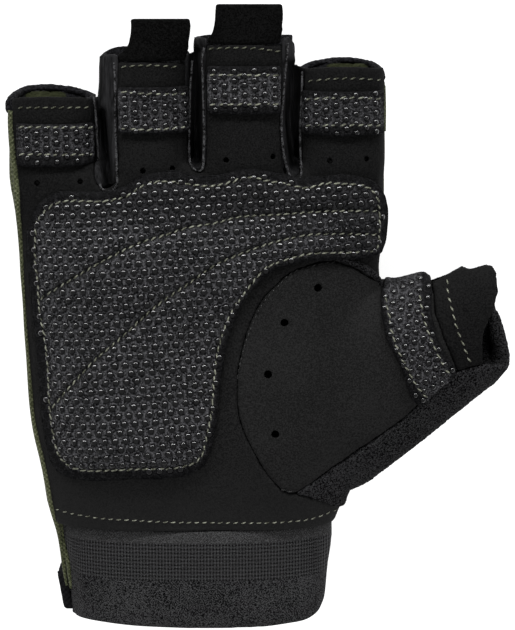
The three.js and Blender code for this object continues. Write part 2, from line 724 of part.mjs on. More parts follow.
const thumbHem = shell
  .intersect(rightOf(HEM_LINE, -seamHalf))
  .subtract(backZone(seamHalf))
  .subtract(terryFront(seamHalf))
  .subtract(rightOf(TIP_FRONT, 0));
addPiece('thumb_hem', thumbHem, LEATHER, 0.6);

const thumbBack = shell
  .intersect(terryZone(-seamHalf))
  .subtract(rightOf(TIP_BACK, 0));
addPiece('thumb_back', thumbBack, ELASTIC, 0.95);

const thumbGrip = thumbForm(-SEAM - BAND)
  .subtract(thumbForm(-SEAM))
  .intersect(prism(smoothOutline(THUMB_GRIP_OUTLINE, 36), 0.55 * THUMB_THICK));
addPiece('thumb_grip', thumbGrip, GRIP, 0.5);

const cuffBand = cuffShell
  .intersect(belowHeel)
  .subtract(backZone(seamHalf));
addPiece('cuff_band', cuffBand, ELASTIC, 0.9);

const strapLayer = cuffForm(-SEAM - STRAP, RUN_OUT).subtract(cuffForm(-SEAM, RUN_OUT));
const strap = strapLayer
  .intersect(zoneUnder(STRAP_ROWS, CUFF_THICK, 0))
  .intersect(prism([
    new THREE.Vector2(-handWidth, heelY - STRAP_END * CUFF_LENGTH),
    new THREE.Vector2(handWidth, heelY - STRAP_END * CUFF_LENGTH),
    new THREE.Vector2(handWidth, heelY - STRAP_START * CUFF_LENGTH),
    new THREE.Vector2(-handWidth, heelY - STRAP_START * CUFF_LENGTH),
  ]));
addPiece('wrist_strap', strap, LEATHER, 0.8);

const glove = new THREE.Group();
for (const mesh of meshes) glove.add(mesh);

export default glove;
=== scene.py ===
"""The looks of a fingerless weightlifting glove that lies on its back, palm up."""
from contextlib import contextmanager
import math
import random

import bpy
import numpy as np
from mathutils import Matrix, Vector
from mathutils.bvhtree import BVHTree
from mathutils.kdtree import KDTree


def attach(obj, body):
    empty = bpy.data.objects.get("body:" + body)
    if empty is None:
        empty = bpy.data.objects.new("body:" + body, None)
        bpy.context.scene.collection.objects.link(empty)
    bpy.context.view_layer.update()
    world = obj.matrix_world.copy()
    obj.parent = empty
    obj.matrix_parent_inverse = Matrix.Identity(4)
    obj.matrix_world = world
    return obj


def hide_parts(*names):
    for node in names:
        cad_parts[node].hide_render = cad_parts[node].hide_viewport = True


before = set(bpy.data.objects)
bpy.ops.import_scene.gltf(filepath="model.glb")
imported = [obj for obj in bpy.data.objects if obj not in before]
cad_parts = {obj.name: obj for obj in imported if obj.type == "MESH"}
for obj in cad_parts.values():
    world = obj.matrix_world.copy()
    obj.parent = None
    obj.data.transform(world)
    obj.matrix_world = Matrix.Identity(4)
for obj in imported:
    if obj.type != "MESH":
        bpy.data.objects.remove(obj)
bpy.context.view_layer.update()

MM = 0.001

# Camera: it leans towards the fingers by the tilt, from this far, over this point
CAMERA_TILT = math.radians(12)
CAMERA_FAR = 650 * MM
CAMERA_TARGET = Vector((15.65, 4.0, 14.0)) * MM
CAMERA_BACK = Vector((0, math.sin(CAMERA_TILT), math.cos(CAMERA_TILT)))
EYE = CAMERA_TARGET + CAMERA_BACK * CAMERA_FAR
PHOTO_WIDTH, PHOTO_HEIGHT = 515, 630
PIXELS_PER_MM = 3.85
SENSOR = 36.0

# How finely the pieces are remade, and how far they grow so that their seams close
FORM_VOXEL = 1.2 * MM
PIECE_VOXEL = 0.6 * MM
FINE_VOXEL = 0.45 * MM
SEAM_GROW = 0.2 * MM
RIM_GROW = 0.35 * MM
FORM_ROUNDS = 26
WELD = 0.01 * MM
FINE_WELD = 0.001 * MM
NEIGHBOURS = 5
NEIGHBOUR_NEAR = 0.2 * MM
SPAN_STEPS = 12

# The open ends of the glove, which smoothing doesn't shorten, and its flat underside
FINGER_ENDS = 54 * MM
WRIST_END = -45 * MM
THUMB_END = 68 * MM
UNDERSIDE = 0.4 * MM

# Sizes of the small work
STITCH_PITCH = 2.2 * MM
STITCH_LENGTH = 1.7 * MM
STITCH_RADIUS = 0.21 * MM
CLOSE_PITCH = 2.0 * MM
# In stitch radii: how high a stitch stands in its middle, and how far its ends dip below that
STITCH_RISE, STITCH_DIP = 0.75, 1.1
STITCH_LEAN, STITCH_SWAY = 15.0, 9.0
# Dots: radius and height, how far the ball goes below its middle, and their distances to seams and edges
DOME_DEPTH = 0.32
PALM_DOT = (0.8 * MM, 0.48 * MM)
BAND_DOT = (0.7 * MM, 0.48 * MM)
THUMB_DOT = (0.68 * MM, 0.44 * MM)
DOT_OFF_CHANNEL = 0.5 * MM
DOT_PAST_SEAM = 0.8 * MM
DOT_EDGE = 0.5 * MM
DOT_STEP = 1.1 * MM
PALM_HOLE = 0.72 * MM
THUMB_HOLE = 1.05 * MM
# What lies this near a solid's hole centre is the wall of its hole
PALM_HOLE_REACH = 0.95 * MM
THUMB_HOLE_REACH = 1.35 * MM

# Dot grids: pitch along a row, pitch between rows, lean of the rows, and one dot's place
PALM_GRID = (2.66 * MM, 2.13 * MM, math.radians(4), (-20 * MM, 5 * MM))
FINGER_GRID = (2.4 * MM, 2.54 * MM, math.radians(92), (-12.8 * MM, 59 * MM))
THUMB_GRID = (2.5 * MM, 2.15 * MM, math.radians(83), (55.4 * MM, -2.9 * MM))


def deselect():
    bpy.ops.object.select_all(action="DESELECT")


def activate(piece):
    deselect()
    piece.select_set(True)
    bpy.context.view_layer.objects.active = piece


@contextmanager
def editing(piece):
    """Edit mode on one piece, with everything selected."""
    activate(piece)
    bpy.ops.object.mode_set(mode="EDIT")
    bpy.ops.mesh.select_all(action="SELECT")
    yield
    bpy.ops.object.mode_set(mode="OBJECT")


def linked(name, data):
    """A new object in the scene."""
    piece = bpy.data.objects.new(name, data)
    bpy.context.scene.collection.objects.link(piece)
    return piece


def join(pieces):
    deselect()
    for piece in pieces:
        piece.select_set(True)
    bpy.context.view_layer.objects.active = pieces[0]
    if len(pieces) > 1:
        bpy.ops.object.join()
    return pieces[0]


def copy_of(nodes, name):
    """One new object with the joined and merged meshes of some nodes."""
    deselect()
    copies = []
    for node in nodes:
        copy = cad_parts[node].copy()
        copy.data = copy.data.copy()
        copy.parent = None
        for key in list(copy.keys()):
            del copy[key]
        bpy.context.scene.collection.objects.link(copy)
        copies.append(copy)
    piece = join(copies)
    piece.name = name
    piece.data.name = name
    piece.data.materials.clear()
    with editing(piece):
        bpy.ops.mesh.remove_doubles(threshold=WELD)
    return piece


def modify(piece, kind, **settings):
    """Adds a modifier with these settings and applies it."""
    modifier = piece.modifiers.new(kind.lower(), kind)
    for setting, value in settings.items():
        setattr(modifier, setting, value)
    activate(piece)
    bpy.ops.object.modifier_apply(modifier=modifier.name)


def remesh(piece, voxel):
    modify(piece, "REMESH", mode="VOXEL", voxel_size=voxel)


def smooth(piece, rounds):
    modify(piece, "SMOOTH", factor=0.5, iterations=rounds)


def lumps(piece, size, height):
    """Raises and lowers the surface with a noise of this size."""
    texture = bpy.data.textures.new(piece.name, "CLOUDS")
    texture.noise_scale = size
    modify(piece, "DISPLACE", texture=texture, texture_coords="LOCAL", direction="NORMAL", strength=height)


def close_holes(piece, centres, radius):
    """Takes out the walls of straight holes and caps both ends of each."""
    points = points_of(piece)[:, :2]
    near = np.zeros(len(points), bool)
    for centre in np.array(centres) * MM:
        near |= np.linalg.norm(points - centre, axis=1) < radius
    activate(piece)
    for part in (piece.data.vertices, piece.data.edges, piece.data.polygons):
        part.foreach_set("select", [False] * len(part))
    walls = [all(near[i] for i in polygon.vertices) for polygon in piece.data.polygons]
    piece.data.polygons.foreach_set("select", walls)
    bpy.ops.object.mode_set(mode="EDIT")
    bpy.ops.mesh.select_mode(type="FACE")
    bpy.ops.mesh.delete(type="FACE")
    bpy.ops.mesh.select_mode(type="VERT")
    bpy.ops.mesh.select_non_manifold()
    bpy.ops.mesh.fill_holes(sides=0)
    bpy.ops.mesh.select_all(action="SELECT")
    bpy.ops.mesh.normals_make_consistent(inside=False)
    bpy.ops.object.mode_set(mode="OBJECT")


def cut_away(piece, at, facing):
    """Removes what lies on the facing side of a plane and closes the cut."""
    with editing(piece):
        bpy.ops.mesh.bisect(plane_co=at, plane_no=facing, clear_outer=True, use_fill=True)


def points_of(piece, field="co"):
    flat = np.empty(len(piece.data.vertices) * 3)
    piece.data.vertices.foreach_get(field, flat)
    return flat.reshape(-1, 3)


def normals_of(piece):
    return points_of(piece, "normal")


def set_points(piece, points):
    piece.data.vertices.foreach_set("co", points.reshape(-1))
    piece.data.update()


def ease(value):
    value = np.clip(value, 0, 1)
    return value * value * (3 - 2 * value)


def ramp(values, start, end):
    """Rises smoothly from 0 at the start to 1 at the end, both in millimetres and in either order."""
    return ease((values - start * MM) / ((end - start) * MM))


def bell(apart, width):
    return np.exp(-(apart / width) ** 2)


# The soft form: the whole skin made smooth, and how far each place moved

SKIN = [
    "palm_panel", "back_panel", "gusset_little_ring", "gusset_ring_middle", "gusset_middle_index",
    "edge_binding_little", "edge_binding_ring", "edge_binding_middle", "edge_binding_index",
    "pull_tab_ring", "pull_tab_middle", "thumb_pad", "thumb_hem", "thumb_back",
]


def relaxing(nodes):
    """A lookup of how the smoothed skin differs from the faceted one."""
    form = copy_of(nodes, "soft_form")
    remesh(form, FORM_VOXEL)
    before = points_of(form)
    smooth(form, FORM_ROUNDS)
    moved = points_of(form) - before
    moved[(before[:, 1] > FINGER_ENDS) | (before[:, 1] < WRIST_END), 1] = 0
    moved[before[:, 0] > THUMB_END, 0] = 0
    moved[before[:, 2] < UNDERSIDE, 2] = 0
    tree = KDTree(len(before))
    for i, point in enumerate(before):
        tree.insert(point, i)
    tree.balance()
    bpy.data.objects.remove(form)
    return tree, moved


def relax(piece, field):
    tree, moved = field
    points = points_of(piece)
    shift = np.zeros_like(points)
    for i, point in enumerate(points):
        total = 0.0
        for _, index, distance in tree.find_n(point, NEIGHBOURS):
            weight = 1 / (distance + NEIGHBOUR_NEAR) ** 2
            shift[i] += weight * moved[index]
            total += weight
        shift[i] /= total
    points += shift
    points[:, 2] = np.maximum(points[:, 2], 0.0)
    set_points(piece, points)


# Plan geometry

def rounded(points, closed, step):
    """A smooth curve through a few points, as evenly spaced points."""
    points = np.array(points, float) * MM
    count = len(points)
    dense = []
    spans = count if closed else count - 1
    for i in range(spans):
        a = points[(i - 1) % count] if closed or i > 0 else points[i]
        b, c = points[i], points[(i + 1) % count]
        d = points[(i + 2) % count] if closed or i + 2 < count else c
        for t in np.linspace(0, 1, SPAN_STEPS, endpoint=False):
            dense.append(0.5 * (2 * b + (c - a) * t + (2 * a - 5 * b + 4 * c - d) * t * t
                                + (3 * b - a - 3 * c + d) * t ** 3))
    dense.append(points[0] if closed else points[-1])
    dense = np.array(dense)
    lengths = np.concatenate([[0], np.cumsum(np.linalg.norm(np.diff(dense, axis=0), axis=1))])
    number = max(2, int(round(lengths[-1] / step)) + 1)
    wanted = np.linspace(0, lengths[-1], number)
    return np.stack([np.interp(wanted, lengths, dense[:, k]) for k in range(points.shape[1])], axis=1)


def nearest_on(places, line):
    """The distance from each plan place to a line, and the nearest point on it."""
    best = np.full(len(places), 1.0)
    where = np.zeros((len(places), 2))
    for a, b in zip(line[:-1], line[1:]):
        span = b - a
        t = np.clip(((places - a) @ span) / max(span @ span, 1e-12), 0, 1)
        foot = a + t[:, None] * span
        apart = np.linalg.norm(places - foot, axis=1)
        closer = apart < best
        best[closer] = apart[closer]
        where[closer] = foot[closer]
    return best, where


def distance_to(places, line):
    return nearest_on(places, line)[0]


def inside(places, outline):
    result = np.zeros(len(places), bool)
    x, y = places[:, 0], places[:, 1]
    for a, b in zip(outline, np.roll(outline, -1, axis=0)):
        crosses = (a[1] > y) != (b[1] > y)
        slope = (b[0] - a[0]) / (b[1] - a[1] if b[1] != a[1] else 1e-12)
        result ^= crosses & (x < a[0] + (y - a[1]) * slope)
    return result


def seen_plan(points, level):
    """Where points look to lie on a level plane for the camera."""
    away = points - np.array(EYE)
    share = (level - EYE.z) / away[:, 2]
    return np.array(EYE)[:2] + away[:, :2] * share[:, None]


# Seams in plan, in millimetres, as the camera sees them on a plane at the level given

PAD_LEVEL = 30 * MM
PAD_STITCHES = [
    (-40.2, 27.7), (-40.3, 20.8), (-39.8, 15.7), (-39.5, 8.0), (-38.3, 1.6), (-37.6, -7.1), (-37.5, -13.9),
    (-37.0, -20.4), (-35.5, -28.7), (-32.5, -32.2), (-27.9, -33.5), (-16.4, -33.1), (-5.3, -32.7),
    (0.7, -30.5), (2.6, -24.8), (3.9, -18.2), (4.5, -10.8), (5.6, -1.9), (7.2, 3.8), (9.7, 9.1), (13.2, 14.2),
    (17.8, 19.5), (22.8, 21.6), (28.5, 23.1), (33.6, 23.4), (44.7, 23.9), (46.2, 27.2), (46.1, 35.9),
    (44.9, 38.7), (42.3, 40.5), (38, 40.9), (32.8, 41.1), (27.7, 39.8), (24.3, 40.7), (18.0, 41.7),
    (13.8, 42.8), (9.3, 41.5), (5.2, 40.5), (1.0, 40.5), (-4.0, 41.3), (-9.4, 41.5), (-13.5, 40.3),
    (-16.9, 37.9), (-23.1, 36.5), (-32.4, 36.6), (-36.5, 35.1), (-39.5, 31.8),
]
CHANNEL_HIGH = [
    (-39.6, 11.3), (-35.6, 13.9), (-24.2, 20.8), (-14.5, 25.7), (-8.2, 27.7), (-2.0, 29.8), (5.1, 31.0),
    (11.3, 32.6), (20.3, 33.1), (29.5, 33.8), (36.5, 34.1), (46.0, 34.1),
]
CHANNEL_LOW = [
    (-37.0, -17.1), (-33.1, -12.5), (-26.2, -4.8), (-20.3, 0.3), (-15.6, 4.6), (-9.6, 10.0), (-1.2, 15.9),
    (5.1, 20.3), (13.8, 24.1), (22.8, 26.9), (31.5, 28.2), (46.0, 28.1),
]

FINGER_LEVEL = 19 * MM
HEM_STITCHES = {
    "little": [(-45.4, 58.7), (-26.7, 58.8)],
    "ring": [(-19.2, 69.0), (-11.4, 69.5), (-2.2, 68.8)],
    "middle": [(2.9, 73.6), (12.6, 73.9), (21.8, 72.9)],
    "index": [(27.9, 65.4), (38.0, 66.2), (47.4, 65.7)],
}
BAND_STITCHES = {
    "little": [[(-45.4, 53.8), (-25.7, 53.7)], [(-45.4, 46.8), (-25.8, 46.7)]],
    "ring": [[(-19.2, 62.8), (-11, 62.2), (-2.1, 62.3)], [(-19.2, 53.5), (-11, 53.1), (-2.2, 53.9)]],
    "middle": [[(3.1, 67.1), (21.4, 66.9)], [(3.1, 59.5), (21.4, 59.6)]],
    "index": [[(27.3, 60.8), (37, 61.3), (47.4, 61)], [(27.3, 54.1), (37, 54.3), (47.4, 54.2)]],
}
ROLL_LINES = {
    "little_ring": [
        (-25.9, 62.1), (-25.4, 58.0), (-25.1, 51.6), (-24.8, 45.2), (-24.5, 39.4), (-24.1, 38.0),
        (-22.5, 37.3), (-20.8, 38.0), (-20.1, 39.4), (-20.1, 42.0), (-20.3, 48.4), (-20.4, 54.8),
        (-20.3, 61.2), (-20.4, 67.5), (-20.5, 70.2),
    ],
    "ring_middle": [
        (-0.8, 70.7), (-1.3, 64.4), (-1.5, 58.0), (-1.7, 51.6), (-1.7, 46.8), (-1.3, 44.2), (-0.2, 42.8),
        (1.1, 42.5), (1.8, 43.7), (1.9, 46.8), (2.1, 51.6), (2.0, 58.0), (1.9, 64.4), (1.7, 70.7),
        (2.2, 73.9),
    ],
    "middle_index": [
        (23.3, 75.1), (23.1, 72.0), (22.5, 65.6), (22.0, 59.3), (21.7, 54.5), (22.0, 49.7), (22.7, 45.0),
        (23.9, 41.4), (25.4, 40.1), (26.4, 40.6), (26.8, 41.7), (26.5, 49.7), (26.6, 56.1), (26.9, 64.1),
        (26.9, 67.9),
    ],
}
SLITS = {
    "little_ring": [(-24.2, 57.2), (-23.6, 52.9), (-22.9, 43.4), (-22.5, 38.7)],
    "ring_middle": [(0.3, 72.5), (0.1, 60.3), (0.1, 50.1), (0.3, 44.4)],
    "middle_index": [(24.2, 68.7), (24.1, 62.2), (23.8, 55.8), (24.3, 49.4), (25.2, 43.0)],
}

SIDE_ROLL = [
    (-47.2, 57.4), (-47.3, 53.8), (-47.0, 47.4), (-46.4, 40.9), (-46.1, 37.0), (-45.9, 31.8), (-45.5, 26.6),
    (-45.2, 20.3), (-45.1, 15.0), (-44.8, 8.7), (-44.5, 0.2), (-44.0, -8.3), (-43.4, -18.5), (-42.5, -26.6),
    (-40.8, -34.7), (-39.5, -41.8), (-38.7, -47.3), (-36.9, -54.1), (-36.1, -59.1), (-35.5, -65.2),
    (-35.0, -69.1),
]
INDEX_SIDE = [(47.9, 63.8), (48.1, 58.1), (48.1, 52.2)]

CUFF_LEVEL = 26 * MM
CUFF_STITCHES = [
    (-37.2, -44.6), (-34.5, -45.6), (-29.6, -46.6), (-23.7, -47.5), (-18.2, -47.8), (-11.5, -48.2),
    (-4.7, -48.5), (0.7, -48.5), (16.3, -48.6), (24.1, -48.2), (29.9, -47.4), (36.7, -44.7),
]

THUMB_LEVEL = 29 * MM
THUMB_SEAM = [
    (37.2, 20.9), (32.7, 20.6), (27.6, 19.3), (24.1, 17.8), (20.6, 14.2), (17.0, 10.0), (14.5, 4.9),
    (12.5, -0.9), (11.2, -6.1), (10.4, -11.3), (10.5, -17.6), (10.9, -21.9), (13.0, -26.6), (15.5, -31.4),
    (18.1, -35.1), (21.2, -38.3), (24.8, -39.4), (27.9, -38.9),
]
BAND_LEVEL = 26 * MM
THUMB_BAND_STITCHES = [
    [(48.4, 11.6), (48.3, 9.4), (49.1, 7.1), (49.8, 2.6), (51.1, -1.5), (53.0, -5.6), (55.3, -10.1),
     (57.5, -13.5), (59.4, -15.4)],
    [(56.9, 12.1), (57.7, 7.3), (58.8, 3.2), (60.3, -0.6), (62.2, -4.7), (64.9, -9.2)],
]
END_LEVEL = 23 * MM
THUMB_END_STITCHES = [
    (64.2, 15.8), (64.1, 13.2), (64.7, 9.8), (65.7, 6.5), (66.6, 2.8), (68.0, -0.6), (69.3, -4.0),
    (70.5, -7.0),
]
TIP_LEVEL = 18 * MM
TIP_OUTLINE = [
    (59.9, 13.5), (61.7, 13.9), (64.2, 15.4), (66.4, 16.7), (68.2, 17.6), (69.4, 17.0), (70.8, 16.9),
    (72.3, 17.4), (74.5, 18.1), (76.0, 17.6), (77.1, 15.9), (77.6, 14.1), (77.5, 11.1), (76.9, 8.4),
    (76.6, 6.5), (75.2, 3.2), (74.1, 0.5), (73.8, -2.1), (73.9, -5.2), (74.3, -14),
]
TERRY_LEVEL = 12 * MM
TERRY_OUTLINE = [
    (49.6, 10.6), (52.9, 11.7), (55.5, 12.5), (60.3, 12.6), (64.7, 14.2), (66.9, 15.5), (68.7, 16.5),
    (69.9, 15.9), (71.3, 15.7), (72.8, 16.3), (75.0, 16.9), (76.5, 16.5), (77.7, 14.7), (78.2, 12.9),
    (78.1, 9.8), (77.5, 7.2), (77.1, 5.3), (78.3, 4.1), (79.4, 1.9), (80.4, -0.4), (81.2, -3.5),
    (81.6, -6.6), (81.5, -9.6), (80.8, -11.1),
]
TERRY_LOWER_EDGE = [
    (81.7, -10.1), (81.0, -11.6), (78.4, -13.5), (72.9, -17.8), (65.4, -25.2), (62.5, -27.3), (53.3, -34.7),
    (42.3, -42.9), (38.3, -45.7),
]
TERRY_RIM = [
    (76.1, 6.2), (77.0, 3.6), (77.8, 0.6), (78.5, -2.6), (79.1, -5.8), (79.0, -8.8), (77.8, -11.0),
    (75.2, -13.6), (71.6, -16.6),
]
RIM_LEVEL = 9 * MM
RIM_ROLLS = {
    "little": (1.0 * MM, [
        (-48.0, 56.5), (-48.3, 58.1), (-47.4, 60.0), (-45.0, 61.6), (-42.1, 62.4), (-37.7, 62.6),
        (-32.3, 62.0), (-28.5, 61.0), (-26.4, 60.1),
    ]),
    "index": (0.8 * MM, [(25.8, 66.8), (29.9, 68.7), (37.1, 69.7), (43.8, 69.0), (46.9, 67.4), (47.6, 65.8)]),
}
RIM_LIMITS = {
    "little": RIM_ROLLS["little"][1],
    "ring": [(-25.3, 70.2), (-24.4, 71.0), (-22.9, 72.1), (-20.6, 73.0), (-17.4, 73.3), (-11.8, 73.4)],
    "middle": [(-2.6, 74.7), (-0.6, 75.5), (2.4, 76.1), (5.1, 76.2), (11.2, 76.2)],
    "index": RIM_ROLLS["index"][1],
}
WALL_LIMITS = {
    "little_ring": RIM_LIMITS["ring"],
    "ring_middle": RIM_LIMITS["middle"],
    "middle_index": [
        (18.3, 76.1), (22.2, 76.1), (22.9, 75.9), (23.7, 75.5), (24.4, 74.8), (25.0, 74.0), (25.4, 73.0),
        (25.6, 69.7), (29.9, 68.7),
    ],
}
CUFF_EDGE_LEVEL = 20 * MM
CUFF_EDGE = [
    (-36.4, -72.0), (-35.1, -73.7), (-33.3, -75.0), (-31.2, -76.2), (-27.3, -77.2), (-19.4, -78.4),
    (-11.4, -79.0), (4.4, -79.5), (16.3, -79.0), (24.2, -77.9), (28.2, -77.0), (30.8, -75.4), (32.1, -73.7),
    (33.2, -70.9),
]
THUMB_FOLD = [(35.8, 21.3), (39.1, 20.6), (42.9, 18.7), (45.5, 16.7), (47.6, 14.1)]

# Air holes: as seen at the level of the skin there, and the centres of the solid's own holes in plain plan
PALM_HOLES = [
    (-40.1, 40.2), (-29.2, 40.6), (-13.3, 43.3), (-5.8, 43.9), (7.7, 46.1), (19.6, 47.0), (33.9, 45.9),
    (43.2, 46.4),
]
PALM_HOLE_LEVEL = 24 * MM
THUMB_HOLES = [(31.0, 14.2), (22.5, 5.1), (18.3, -8.3), (20.2, -24.1)]
PALM_HOLE_CENTRES = [
    (-41.9, 39.6), (-30.8, 40.0), (-14.2, 42.9), (-6.6, 43.6), (7.3, 45.8), (19.5, 46.8), (34.3, 45.6),
    (43.9, 46.1),
]
THUMB_HOLE_CENTRES = [(31.6, 14.4), (22.9, 5.3), (18.9, -7.7), (20.8, -23.4)]

# Rolls: the levels they are read at, their radii at shares of the way, and how the side's are stacked
ROLL_SEED = 7
SIDE_LEVEL = 15 * MM
SIDE_ROLLS = 5
SIDE_ROLL_STEP = 0.9 * MM
SIDE_ROLL_RADII = [
    (0, 0.8), (0.15, 0.85), (0.25, 0.7), (0.4, 0.45), (0.5, 0.5), (0.6, 0.7), (0.75, 0.7), (0.95, 0.55),
    (1, 0.35),
]
TERRY_RIM_LEVEL, TERRY_RIM_HEIGHT = 9 * MM, 4.5 * MM
TERRY_RIM_RADII = [(0, 0.7), (0.15, 1.6), (0.35, 2.3), (0.6, 2.4), (0.8, 1.6), (1, 0.8)]
FOLD_LEVEL = 26 * MM

# How far painted shade darkens the cloth of each finger's band as a whole
BAND_PAINTED_SHADES = {"little": 0.42, "ring": 0.28, "middle": 0.1, "index": 0.38}


# Materials

def grey(tone, blue=None):
    return tone, tone, blue or tone


def new_group(name, inputs, outputs):
    """A node group that takes a place and some numbers, each with its first value."""
    tree = bpy.data.node_groups.new(name, "ShaderNodeTree")
    tree.interface.new_socket("Place", in_out="INPUT", socket_type="NodeSocketVector")
    for label, value in inputs.items():
        tree.interface.new_socket(label, in_out="INPUT", socket_type="NodeSocketFloat").default_value = value
    for label in outputs:
        tree.interface.new_socket(label, in_out="OUTPUT", socket_type="NodeSocketFloat")
    return tree, tree.nodes.new("NodeGroupInput"), tree.nodes.new("NodeGroupOutput")


def add(tree, kind, **settings):
    node = tree.nodes.new(kind)
    for key, value in settings.items():
        setattr(node, key, value)
    return node


def calc(tree, operation, *values):
    """A maths node whose inputs are sockets or numbers."""
    node = add(tree, "ShaderNodeMath", operation=operation)
    for slot, value in zip(node.inputs, values):
        if isinstance(value, (int, float)):
            slot.default_value = value
        else:
            tree.links.new(value, slot)
    return node.outputs[0]


def split(tree, vector):
    node = add(tree, "ShaderNodeSeparateXYZ")
    tree.links.new(vector, node.inputs[0])
    return node.outputs["X"], node.outputs["Y"], node.outputs["Z"]


def fill(node, values):
    for label, value in values.items():
        node.inputs[label].default_value = value


def grain_group():
    """Fine grain, speckle and soft patches of wear."""
    tree, start, end = new_group("grain", {"Grain Scale": 1500.0, "Patch Scale": 40.0},
                                 ("Height", "Speckle", "Patches"))
    cells = add(tree, "ShaderNodeTexVoronoi", feature="F1")
    fine = add(tree, "ShaderNodeTexNoise")
    fine.inputs["Detail"].default_value = 3
    patch = add(tree, "ShaderNodeTexNoise")
    patch.inputs["Detail"].default_value = 3
    link = tree.links.new
    for node in (cells, fine, patch):
        link(start.outputs["Place"], node.inputs["Vector"])
    for node in (cells, fine):
        link(start.outputs["Grain Scale"], node.inputs["Scale"])
    link(start.outputs["Patch Scale"], patch.inputs["Scale"])
    height = calc(tree, "MULTIPLY_ADD", cells.outputs["Distance"], 0.6, fine.outputs["Fac"])
    link(height, end.inputs["Height"])
    link(fine.outputs["Fac"], end.inputs["Speckle"])
    link(patch.outputs["Fac"], end.inputs["Patches"])
    return tree


def weave_group():
    """Over-and-under threads."""
    tree, start, end = new_group("weave", {"Thread Scale": 1200.0}, ("Height",))
    scale = start.outputs["Thread Scale"]
    x, y, _ = split(tree, start.outputs["Place"])
    waves = [calc(tree, "SINE", calc(tree, "MULTIPLY", way, scale)) for way in (x, y)]
    tree.links.new(calc(tree, "MULTIPLY", *waves), end.inputs["Height"])
    return tree


def dot_net_group():
    """How far a place is from the nearest dot of a staggered grid."""
    tree, start, end = new_group("dot_net", {"Pitch": 2.7 * MM, "Row": 2.1 * MM}, ("Distance",))
    x, y, _ = split(tree, start.outputs["Place"])
    across = calc(tree, "DIVIDE", x, start.outputs["Pitch"])
    up = calc(tree, "DIVIDE", y, start.outputs["Row"])
    row = calc(tree, "ROUND", up)
    offset = calc(tree, "MULTIPLY", calc(tree, "PINGPONG", row, 1.0), 0.5)
    column = calc(tree, "SUBTRACT", across, offset)
    past = calc(tree, "SUBTRACT", column, calc(tree, "ROUND", column))
    du = calc(tree, "MULTIPLY", past, start.outputs["Pitch"])
    dv = calc(tree, "MULTIPLY", calc(tree, "SUBTRACT", up, row), start.outputs["Row"])
    both = calc(tree, "ADD", calc(tree, "MULTIPLY", du, du), calc(tree, "MULTIPLY", dv, dv))
    tree.links.new(calc(tree, "SQRT", both), end.inputs["Distance"])
    return tree


def rib_group():
    """A knitted elastic: dense bands above and below a grid of small holes."""
    tree, start, end = new_group(
        "rib", {"Column": 0.836 * MM, "Row": 1.06 * MM, "Top": -53.5 * MM, "Bottom": -63.7 * MM},
        ("Holes", "Knit", "Upper", "Zone"),
    )
    x, y, _ = split(tree, start.outputs["Place"])
    turn = 2 * math.pi
    column, row = [
        calc(tree, "COSINE", calc(tree, "MULTIPLY", calc(tree, "DIVIDE", way, start.outputs[pitch]), turn))
        for way, pitch in ((x, "Column"), (y, "Row"))
    ]
    lane = calc(tree, "POWER", calc(tree, "MULTIPLY_ADD", column, 0.5, 0.5), 0.32)
    cell = calc(tree, "MULTIPLY", lane, calc(tree, "MULTIPLY_ADD", row, 0.15, 0.85))
    zone = calc(tree, "MULTIPLY", calc(tree, "LESS_THAN", y, start.outputs["Top"]),
                calc(tree, "GREATER_THAN", y, start.outputs["Bottom"]))
    tree.links.new(calc(tree, "MULTIPLY", cell, zone), end.inputs["Holes"])
    tree.links.new(zone, end.inputs["Zone"])
    tree.links.new(calc(tree, "GREATER_THAN", y, start.outputs["Top"]), end.inputs["Upper"])
    fine = calc(tree, "SINE", calc(tree, "MULTIPLY", x, 9000.0))
    other = calc(tree, "SINE", calc(tree, "MULTIPLY", y, 8000.0))
    tree.links.new(calc(tree, "MULTIPLY", fine, other), end.inputs["Knit"])
    return tree


GRAIN = grain_group()
WEAVE = weave_group()
DOT_NET = dot_net_group()
RIB = rib_group()
ROUGHNESS_SPREAD = 0.08


